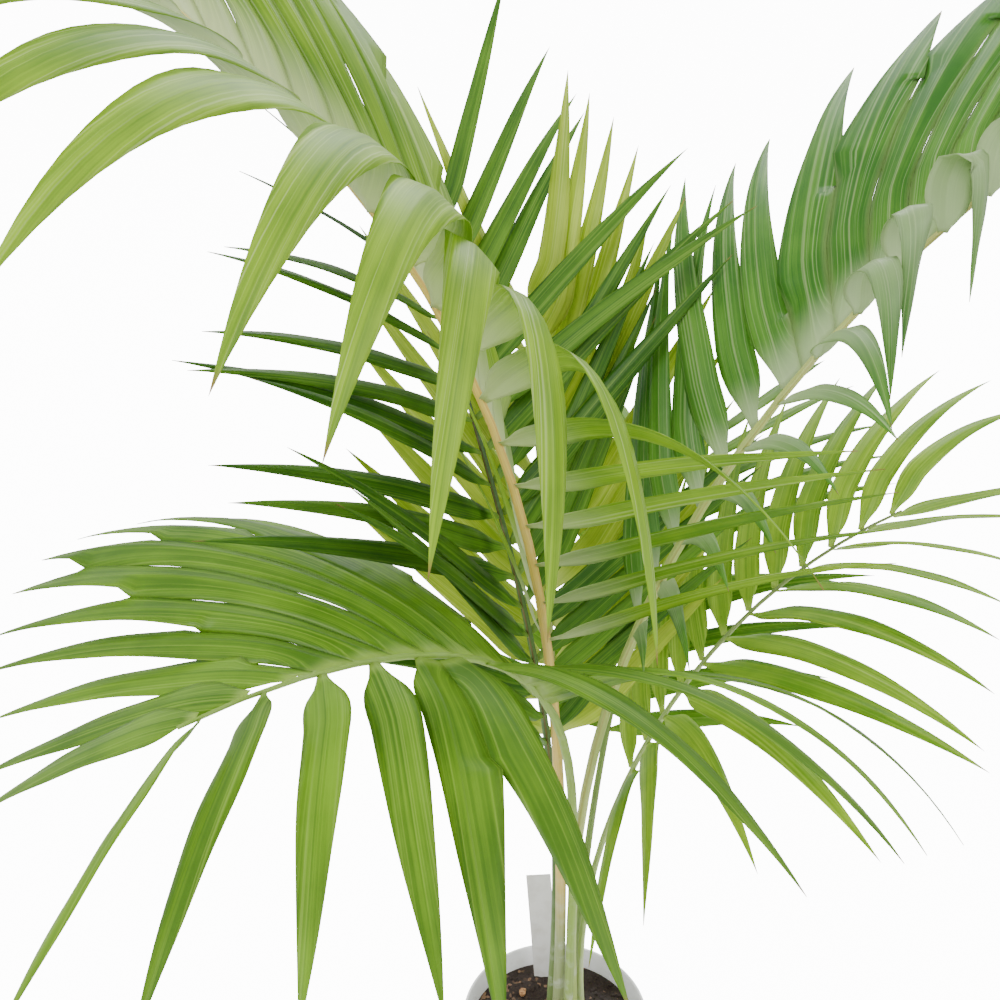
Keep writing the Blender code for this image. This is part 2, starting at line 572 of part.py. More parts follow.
def place_leaflets(name, frond, line, hand, placed, stalks):
    """Lay one side's leaflets from the lowest up, each turned aside until it is clear."""
    side = frond["right"] if hand > 0 else frond["left"]
    shapes = []
    half_step = 0.5 / (side["count"] - 1)
    for index in range(side["count"]):
        place = index / (side["count"] - 1)
        # A leaflet needn't clear the neighbour it is joined to
        free = placed[:-1] if index and knots(place - half_step, side["joined"]) > JOINED_LEAST else placed
        for shorter, lean in ((length, lean) for length in SHORTER for lean in leans()):
            shape = leaflet_shape(frond, line, side, hand, place, lean, shorter)
            whole = prism(*shape, LEAF_CLEARANCE)
            blade = prism(*(part[1:] for part in shape), SAME_FROND_CLEARANCE)
            tail = prism(*(part[2:] for part in shape), SAME_FROND_CLEARANCE)
            crossed = any(meets(whole, other) for owner, other, _ in placed if owner != name)
            crossed = crossed or any(meets(blade, other) for owner, _, other in free if owner == name)
            crossed = crossed or any(meets(whole if owner != name else tail, stalk)
                                     for owner, stalk in stalks)
            if not crossed:
                break
        shapes.append(shape)
        placed.append((name, whole, blade))
    return shapes


def make_leaflets(node, name, frond, line, hand, shapes, group):
    """One side's leaflets on their seat along the midrib, as one thin open surface with a wall."""
    side = frond["right"] if hand > 0 else frond["left"]
    verts = []
    faces = []

    def add(point):
        verts.append(point)
        return len(verts) - 1

    previous = None
    count = side["count"]
    span = (LAST_LEAFLET_AT - frond["blade_from"]) / (count - 1)
    joins = [knots((index + 0.5) / (count - 1), side["joined"]) for index in range(count - 1)]
    blades = [(centre, across, unit(np.cross(heading, across)) * hand, width / 2)
              for centre, across, heading, width in shapes]
    edges = blade_edges(blades, joins, ROWS)
    last_seam = []
    for index, (centre, across, _, width) in enumerate(shapes):
        where = frond["blade_from"] + span * index
        reach = frond["length"] * CROWN_SCALE
        half = min(0.5 * width[0] / reach, SEAT_SHARE * span)
        ends = []
        for share in (where - half, where + half):
            point, _, right, _ = at_share(line, share)
            seat = midrib_radius(frond, share) + SEAT_CLEARANCE
            ends.append((add(point + right * hand * seat), add(point + right * hand * (seat + SEAT_WIDTH))))
        (inner_low, outer_low), (inner_high, outer_high) = ends
        if previous is not None:
            faces.append((previous[0], inner_low, outer_low, previous[1]))
            if last_seam:
                faces.append((previous[1], outer_low, last_seam[0]))
        faces.append((inner_low, inner_high, outer_high, outer_low))
        previous = (inner_high, outer_high)
        joined = joins[index] if index < count - 1 and joins[index] > JOINED_LEAST else 0.0
        seam = []
        low, high = outer_low, outer_high
        for row in range(1, len(centre) - 1):
            next_low = last_seam[row - 1] if row <= len(last_seam) else add(edges[index][0][row])
            next_high = add(edges[index][1][row])
            if ROWS[row] <= joined:
                seam.append(next_high)
            faces.append((low, high, next_high, next_low))
            low, high = next_low, next_high
        faces.append((low, high, add(centre[-1])))
        last_seam = seam
    item = mesh_object(node, verts, faces, group)
    wall = item.modifiers.new("wall", "SOLIDIFY")
    wall.thickness = LEAF_THICKNESS
    wall.offset = 0.0
    item.data.materials.append(make_material(node, frond["colour"], 0.45))
    return item


def build():
    clear_scene()
    group = new_collection("potted_palm")
    cutters = new_collection("cutters")
    make_pot(group, cutters)
    soil = make_soil(group)
    make_label(group, cutters, soil)
    make_chips(group)
    lines = {name: midrib_line(frond) for name, frond in FRONDS.items()}
    stalks = [(name, tube_tree(FRONDS[name], line)) for name, line in lines.items()]
    placed = []
    for name, frond in FRONDS.items():
        make_midrib(f"{name}_midrib", frond, group)
        cut_root_hole(name, frond, soil, cutters)
        for hand, word in ((-1, "left"), (1, "right")):
            shapes = place_leaflets(name, frond, lines[name], hand, placed, stalks)
            make_leaflets(f"{name}_leaflets_{word}", name, frond, lines[name], hand, shapes, group)


build()
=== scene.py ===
import math
import random

import bpy
import numpy as np
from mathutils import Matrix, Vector, noise
from mathutils.bvhtree import BVHTree


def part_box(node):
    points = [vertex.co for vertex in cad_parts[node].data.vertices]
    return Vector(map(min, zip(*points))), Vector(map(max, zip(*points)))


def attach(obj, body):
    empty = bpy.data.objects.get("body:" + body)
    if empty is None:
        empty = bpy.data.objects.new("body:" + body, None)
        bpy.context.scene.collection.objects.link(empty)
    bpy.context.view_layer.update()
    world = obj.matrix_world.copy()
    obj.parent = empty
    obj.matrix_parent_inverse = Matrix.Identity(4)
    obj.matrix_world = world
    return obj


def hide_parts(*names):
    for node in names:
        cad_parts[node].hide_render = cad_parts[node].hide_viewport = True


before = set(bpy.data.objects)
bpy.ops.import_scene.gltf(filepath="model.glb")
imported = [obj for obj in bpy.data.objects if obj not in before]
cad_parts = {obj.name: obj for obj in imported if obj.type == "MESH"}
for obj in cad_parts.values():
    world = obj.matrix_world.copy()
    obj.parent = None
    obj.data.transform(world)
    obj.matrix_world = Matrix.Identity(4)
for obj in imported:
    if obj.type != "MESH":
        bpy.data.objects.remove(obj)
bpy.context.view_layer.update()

bpy.ops.object.select_all(action="DESELECT")

# ---------------------------------------------------------------------------
# Camera, floor and lights
# A pale seamless studio floor under soft, high light. The camera stands close in front
# of the plant, above the leaves, and looks down into the crown.
CAMERA_PLACE = (-0.054, -0.939, 1.282)
CAMERA_TILT_DOWN = 29.8
CAMERA_LENS = 50.4


def linear(code):
    """A colour given as an sRGB hex code, turned to linear light, with full alpha."""
    channels = [int(code[i:i + 2], 16) / 255 for i in (1, 3, 5)]
    return (*[c / 12.92 if c <= 0.04045 else ((c + 0.055) / 1.055) ** 2.4 for c in channels], 1.0)


def add_node(material, kind, settings=(), **links):
    """Adds a node. Settings are its properties, and links are values or sockets for its inputs,
    named as on the node with spaces as _, or given as i0, i1 by number."""
    tree = material.node_tree
    made = tree.nodes.new(kind)
    for name, value in dict(settings).items():
        setattr(made, name, value)
    for name, value in links.items():
        numbered = name[0] == "i" and name[1:].isdigit()
        socket = made.inputs[int(name[1:]) if numbered else name.replace("_", " ")]
        if isinstance(value, bpy.types.NodeSocket):
            tree.links.new(value, socket)
        else:
            socket.default_value = value
    return made


def new_material(name):
    material = bpy.data.materials.new(name)
    material.use_nodes = True
    material.node_tree.nodes.clear()
    return material


bpy.ops.object.camera_add(location=CAMERA_PLACE, rotation=(math.radians(90 - CAMERA_TILT_DOWN), 0, 0))
camera = bpy.context.object
camera.data.lens = CAMERA_LENS
camera.data.sensor_width = 36
camera.data.clip_start = 0.02
bpy.context.scene.camera = camera

bpy.ops.mesh.primitive_plane_add(size=60)
floor = bpy.context.object
floor.name = "studio_floor"
paper = new_material("seamless_white_paper")
sight = add_node(paper, "ShaderNodeLightPath")
matt = add_node(paper, "ShaderNodeBsdfDiffuse", Color=linear("#F4F4F2"))
glow = add_node(paper, "ShaderNodeEmission", Color=linear("#FFFFFF"), Strength=12.0)
both = add_node(paper, "ShaderNodeAddShader", i0=matt.outputs[0], i1=glow.outputs[0])
seen = add_node(paper, "ShaderNodeMixShader", Fac=sight.outputs["Is Camera Ray"],
                i1=matt.outputs[0], i2=both.outputs[0])
add_node(paper, "ShaderNodeOutputMaterial", Surface=seen.outputs[0])
floor.data.materials.append(paper)

world = bpy.data.worlds.new("studio_world")
bpy.context.scene.world = world
world.use_nodes = True
world.node_tree.nodes["Background"].inputs["Color"].default_value = linear("#FFFFFF")
world.node_tree.nodes["Background"].inputs["Strength"].default_value = 1.15

# Name, place, size in metres, power in watts; each points at the middle of the crown.
LIGHTS = (("key_softbox", (-1.6, -1.8, 3.0), 2.0, 75), ("fill_softbox", (2.4, -1.0, 2.0), 2.0, 30),
          ("back_softbox", (0.6, 2.6, 2.4), 2.2, 60))
CROWN_MIDDLE = Vector((0, 0, 0.75))
for name, place, size, power in LIGHTS:
    bpy.ops.object.light_add(type="AREA", location=place)
    light = bpy.context.object
    light.name = name
    light.data.shape = "DISK"
    light.data.size = size
    light.data.energy = power
    light.rotation_euler = (CROWN_MIDDLE - Vector(place)).to_track_quat("-Z", "Y").to_euler()

# ---------------------------------------------------------------------------
# Pot
# A round nursery pot, injection moulded in thin white plastic, with a stepped band at the
# rim, a rolled lip and drain holes through its floor.
POT_HEIGHT = 0.165
POT_RIM_RADIUS = 0.090
POT_FOOT_RADIUS = 0.062
POT_WALL = 0.0024
POT_FLOOR = 0.0030
RIM_BAND_HEIGHT = 0.018
RIM_BAND_STEP = 0.0030
POT_SIDES = 128
DRAIN_HOLES = 6
DRAIN_HOLE_RADIUS = 0.005
DRAIN_RING_RADIUS = 0.040
LIP_RADIUS = 0.0013


def turned(name, profile, sides):
    """A round piece: a ring of edges pushed out along a profile of (radius, height) points."""
    radius, height = profile[0]
    bpy.ops.mesh.primitive_circle_add(vertices=sides, radius=radius, location=(0, 0, 0), fill_type="NGON")
    piece = bpy.context.object
    piece.name = name
    bpy.ops.object.mode_set(mode="EDIT")
    bpy.ops.mesh.select_all(action="SELECT")
    bpy.ops.transform.translate(value=(0, 0, height))
    bpy.ops.mesh.select_mode(type="EDGE")
    for (old_radius, old_height), (new_radius, new_height) in zip(profile, profile[1:]):
        bpy.ops.mesh.extrude_edges_move(TRANSFORM_OT_translate={"value": (0, 0, new_height - old_height)})
        grow = new_radius / old_radius
        bpy.ops.transform.resize(value=(grow, grow, 1), center_override=(0, 0, 0))
    bpy.ops.mesh.edge_face_add()
    bpy.ops.mesh.select_all(action="SELECT")
    bpy.ops.mesh.normals_make_consistent(inside=False)
    bpy.ops.object.mode_set(mode="OBJECT")
    return piece


def outer_radius(height):
    top = POT_RIM_RADIUS - RIM_BAND_STEP
    share = height / (POT_HEIGHT - RIM_BAND_HEIGHT)
    return POT_FOOT_RADIUS + (top - POT_FOOT_RADIUS) * min(share, 1.0)


band_foot = POT_HEIGHT - RIM_BAND_HEIGHT
pot_profile = [(outer_radius(0.003) - POT_WALL - 0.006, POT_FLOOR),
               (outer_radius(0.003) - POT_WALL - 0.002, POT_FLOOR + 0.001),
               (outer_radius(0.007) - POT_WALL, POT_FLOOR + 0.004),
               (outer_radius(band_foot) - POT_WALL, band_foot),
               (POT_RIM_RADIUS - POT_WALL - 0.0012, POT_HEIGHT - 0.0045)]
# The lip is a half roll over the top of the wall.
for degrees in range(180, -1, -30):
    roll = math.radians(degrees)
    pot_profile.append((POT_RIM_RADIUS - LIP_RADIUS + LIP_RADIUS * math.cos(roll),
                        POT_HEIGHT - LIP_RADIUS + LIP_RADIUS * math.sin(roll)))
pot_profile += [(POT_RIM_RADIUS, band_foot + 0.0014), (POT_RIM_RADIUS - 0.0005, band_foot + 0.0004),
                (POT_RIM_RADIUS - 0.0012, band_foot), (outer_radius(band_foot) + 0.0004, band_foot - 0.0004),
                (outer_radius(band_foot - 0.002), band_foot - 0.002), (outer_radius(0.008), 0.008),
                (outer_radius(0.002) - 0.0005, 0.0022), (POT_FOOT_RADIUS - 0.0022, 0.0004),
                (POT_FOOT_RADIUS - 0.0040, 0.0)]
pot = turned("nursery_pot", pot_profile, POT_SIDES)
for index in range(DRAIN_HOLES):
    turn = 2 * math.pi * index / DRAIN_HOLES
    place = (DRAIN_RING_RADIUS * math.cos(turn), DRAIN_RING_RADIUS * math.sin(turn), POT_FLOOR / 2)
    bpy.ops.mesh.primitive_cylinder_add(vertices=32, radius=DRAIN_HOLE_RADIUS, depth=4 * POT_FLOOR,
                                        location=place)
    drill = bpy.context.object
    hole = pot.modifiers.new("drain_hole", "BOOLEAN")
    hole.operation = "DIFFERENCE"
    hole.solver = "EXACT"
    hole.object = drill
    bpy.context.view_layer.objects.active = pot
    bpy.ops.object.modifier_apply(modifier=hole.name)
    bpy.data.objects.remove(drill)
bpy.ops.object.select_all(action="DESELECT")
pot.select_set(True)
bpy.context.view_layer.objects.active = pot
bpy.ops.object.shade_smooth_by_angle(angle=math.radians(32))

white_plastic = new_material("white_pot_plastic")
place = add_node(white_plastic, "ShaderNodeTexCoord")
dust = add_node(white_plastic, "ShaderNodeTexNoise", Vector=place.outputs["Object"], Scale=45.0, Detail=4.0)
tint = add_node(white_plastic, "ShaderNodeMapRange", Value=dust.outputs["Fac"], i1=0.45, i2=0.75)
shell = add_node(white_plastic, "ShaderNodeMix", {"data_type": "RGBA"}, Factor=tint.outputs[0],
                 i6=linear("#FAFBFB"), i7=linear("#F0F1EF"))
gloss = add_node(white_plastic, "ShaderNodeMapRange", Value=dust.outputs["Fac"],
                 i1=0.3, i2=0.7, i3=0.24, i4=0.38)
flow = add_node(white_plastic, "ShaderNodeTexNoise", Vector=place.outputs["Object"], Scale=900.0, Detail=1.0)
grain = add_node(white_plastic, "ShaderNodeBump", Strength=0.06, Distance=0.0002, Height=flow.outputs["Fac"])
plastic = add_node(white_plastic, "ShaderNodeBsdfPrincipled", Base_Color=shell.outputs["Result"],
                   Roughness=gloss.outputs[0], Normal=grain.outputs[0])
plastic.inputs["Subsurface Weight"].default_value = 0.12
plastic.inputs["Subsurface Radius"].default_value = (0.004, 0.004, 0.004)
add_node(white_plastic, "ShaderNodeOutputMaterial", Surface=plastic.outputs[0])
pot.data.materials.append(white_plastic)
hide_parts("pot")
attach(pot, "root")

# ---------------------------------------------------------------------------
# Soil
# Dark, damp potting mix of peat and fine bark, pressed round the stalks by hand, with loose
# crumbs and short fibres on top.
SOIL_LEVEL = 0.145
SOIL_GAP = 0.0003


def lumps(x, y, scale, seed):
    return noise.noise(Vector((x * scale, y * scale, seed)))


rim = outer_radius(SOIL_LEVEL - 0.002) - POT_WALL - SOIL_GAP
soil_profile = [(rim * k / 60, SOIL_LEVEL) for k in range(1, 61)]
soil_profile += [(rim - 0.0002, SOIL_LEVEL - 0.004), (outer_radius(0.012) - POT_WALL - SOIL_GAP, 0.012),
                 (outer_radius(0.004) - POT_WALL - 0.007, POT_FLOOR + SOIL_GAP)]
soil = turned("potting_mix", soil_profile, 144)
for vert in soil.data.vertices:
    x, y, z = vert.co
    reach = math.hypot(x, y)
    if z > SOIL_LEVEL - 0.001:
        edge = max(0.0, min(1.0, (rim - reach) / 0.006))
        mound = 0.004 * max(0.0, 1 - ((x - 0.008) ** 2 + (y - 0.002) ** 2) / 0.045 ** 2)
        rough = 0.0028 * lumps(x, y, 60, 3) + 0.0018 * lumps(x, y, 160, 5) + 0.0011 * lumps(x, y, 420, 9)
        vert.co.z = SOIL_LEVEL - 0.0022 + edge * (mound + rough) * 0.9
soil.data.shade_smooth()
parts = [soil]
chance = random.Random(5)
bpy.ops.mesh.primitive_ico_sphere_add(subdivisions=2, radius=1.0)
crumb_form = bpy.context.object
for vert in crumb_form.data.vertices:
    vert.co *= 1 + 0.35 * noise.noise(vert.co * 1.7)
for index in range(620):
    reach, turn = (rim - 0.004) * math.sqrt(chance.random()), chance.uniform(0, 2 * math.pi)
    size = 0.0005 + 0.0021 * chance.random() ** 2.5
    crumb = bpy.data.objects.new("crumb", crumb_form.data.copy())
    bpy.context.scene.collection.objects.link(crumb)
    x, y = reach * math.cos(turn), reach * math.sin(turn)
    hit = soil.ray_cast(Vector((x, y, 0.3)), Vector((0, 0, -1)))[1]
    crumb.location = hit + Vector((0, 0, size * 0.25))
    long = chance.choice((1, 1, 1.6, 2.6))
    crumb.scale = (size * long, size * chance.uniform(0.6, 1), size * chance.uniform(0.4, 0.8))
    crumb.rotation_euler = (chance.uniform(-0.4, 0.4), chance.uniform(-0.4, 0.4), chance.uniform(0, 6.28))
    parts.append(crumb)
bpy.data.objects.remove(crumb_form)


def join(parts, name):
    """One object of several, with its place baked into the mesh."""
    bpy.ops.object.select_all(action="DESELECT")
    for part in parts:
        part.select_set(True)
    bpy.context.view_layer.objects.active = parts[0]
    if len(parts) > 1:
        bpy.ops.object.join()
    bpy.ops.object.transform_apply(location=True, rotation=True, scale=True)
    parts[0].name = name
    return parts[0]


soil = join(parts, "potting_mix")
potting_mix = new_material("damp_potting_mix")
place = add_node(potting_mix, "ShaderNodeTexCoord")
grit = add_node(potting_mix, "ShaderNodeTexNoise", Vector=place.outputs["Object"], Scale=420.0, Detail=5.0)
damp = add_node(potting_mix, "ShaderNodeTexNoise", Vector=place.outputs["Object"], Scale=40.0, Detail=2.0)
cells = add_node(potting_mix, "ShaderNodeTexVoronoi", Vector=place.outputs["Object"], Scale=300.0)
peat = add_node(potting_mix, "ShaderNodeMix", {"data_type": "RGBA"}, Factor=grit.outputs["Fac"],
                i6=linear("#120C08"), i7=linear("#3A2A20"))
fleck = add_node(potting_mix, "ShaderNodeSeparateColor", Color=cells.outputs["Color"])
bits = add_node(potting_mix, "ShaderNodeMapRange", Value=fleck.outputs[0], i1=0.90, i2=0.97)
flecked = add_node(potting_mix, "ShaderNodeMix", {"data_type": "RGBA"}, Factor=bits.outputs[0],
                   i6=peat.outputs["Result"], i7=linear("#7C6048"))
shine = add_node(potting_mix, "ShaderNodeMapRange", Value=damp.outputs["Fac"],
                 i1=0.35, i2=0.7, i3=0.95, i4=0.6)
tooth = add_node(potting_mix, "ShaderNodeBump", Strength=0.8, Distance=0.0012, Height=grit.outputs["Fac"])
earth = add_node(potting_mix, "ShaderNodeBsdfPrincipled", Base_Color=flecked.outputs["Result"],
                 Roughness=shine.outputs[0], Normal=tooth.outputs[0])
add_node(potting_mix, "ShaderNodeOutputMaterial", Surface=earth.outputs[0])
soil.data.materials.append(potting_mix)
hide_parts("soil")
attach(soil, "root")

# ---------------------------------------------------------------------------
# Bark chips
# Seven loose flakes of pine bark lying on the soil, split along the grain, so each is a
# ragged layered slab with a paler broken face.
bark = new_material("split_pine_bark")
place = add_node(bark, "ShaderNodeTexCoord")
layers = add_node(bark, "ShaderNodeMapping", Vector=place.outputs["Object"], Scale=(260.0, 700.0, 1500.0))
grain = add_node(bark, "ShaderNodeTexNoise", Vector=layers.outputs[0], Scale=1.0, Detail=4.0)
ramp = add_node(bark, "ShaderNodeMapRange", Value=grain.outputs["Fac"], i1=0.35, i2=0.68)
tan = add_node(bark, "ShaderNodeMix", {"data_type": "RGBA"}, Factor=ramp.outputs[0],
               i6=linear("#6B4226"), i7=linear("#C99B68"))
ridge = add_node(bark, "ShaderNodeBump", Strength=0.7, Distance=0.0006, Height=grain.outputs["Fac"])
flake = add_node(bark, "ShaderNodeBsdfPrincipled", Base_Color=tan.outputs["Result"], Roughness=0.85,
                 Normal=ridge.outputs[0])
add_node(bark, "ShaderNodeOutputMaterial", Surface=flake.outputs[0])
chance = random.Random(11)
for index in range(7):
    low, high = (np.array(corner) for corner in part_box(f"bark_chip_{index + 1}"))
    middle, size = (low + high) / 2, max(high[:2] - low[:2])
    bpy.ops.mesh.primitive_cube_add(size=1)
    chip = bpy.context.object
    bpy.ops.object.mode_set(mode="EDIT")
    bpy.ops.mesh.subdivide(number_cuts=7)
    bpy.ops.object.mode_set(mode="OBJECT")
    for vert in chip.data.vertices:
        far = math.hypot(vert.co.x, vert.co.y) * 2
        ragged = 1 + 0.22 * noise.noise(Vector((vert.co.x * 3, vert.co.y * 3, index * 7.0)))
        layer = 0.10 * noise.noise(Vector((vert.co.x * 4, vert.co.y * 9, index * 3.0 + vert.co.z * 2)))
        vert.co.x *= size * 0.92 * ragged / max(1.0, far ** 0.5)
        vert.co.y *= size * 0.60 * ragged / max(1.0, far ** 0.5)
        vert.co.z = size * 0.30 * (vert.co.z * (1 - 0.25 * min(far, 1.2) ** 2) + layer)
    floor_z = min(vert.co.z for vert in chip.data.vertices)
    top = max(soil.ray_cast(Vector((middle[0] + dx, middle[1] + dy, 0.3)), Vector((0, 0, -1)))[1].z
              for dx in (-0.003, 0, 0.003) for dy in (-0.002, 0, 0.002))
    chip.location = (middle[0], middle[1], top - floor_z - 0.0006)
    chip.rotation_euler = (0.0, 0.0, chance.uniform(0.0, math.pi))
    chip.data.shade_smooth()
    chip.data.materials.append(bark)
    chip = join([chip], f"bark_flake_{index + 1}")
    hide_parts(f"bark_chip_{index + 1}")
    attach(chip, "root")

# ---------------------------------------------------------------------------
# Label
# A flat pointed stake punched from white polystyrene sheet, pushed into the soil behind the
# stalks. Its printing is left off.
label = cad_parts["plant_label"]
label_plastic = new_material("white_label_plastic")
place = add_node(label_plastic, "ShaderNodeTexCoord")
smudge = add_node(label_plastic, "ShaderNodeTexNoise", Vector=place.outputs["Object"],
                  Scale=70.0, Detail=5.0)
tint = add_node(label_plastic, "ShaderNodeMapRange", Value=smudge.outputs["Fac"], i1=0.45, i2=0.8)
sheet = add_node(label_plastic, "ShaderNodeMix", {"data_type": "RGBA"}, Factor=tint.outputs[0],
                 i6=linear("#EFEDEB"), i7=linear("#DAD6D0"))
face = add_node(label_plastic, "ShaderNodeBsdfPrincipled", Base_Color=sheet.outputs["Result"],
                Roughness=0.45)
add_node(label_plastic, "ShaderNodeOutputMaterial", Surface=face.outputs[0])
label.data.materials.clear()
label.data.materials.append(label_plastic)

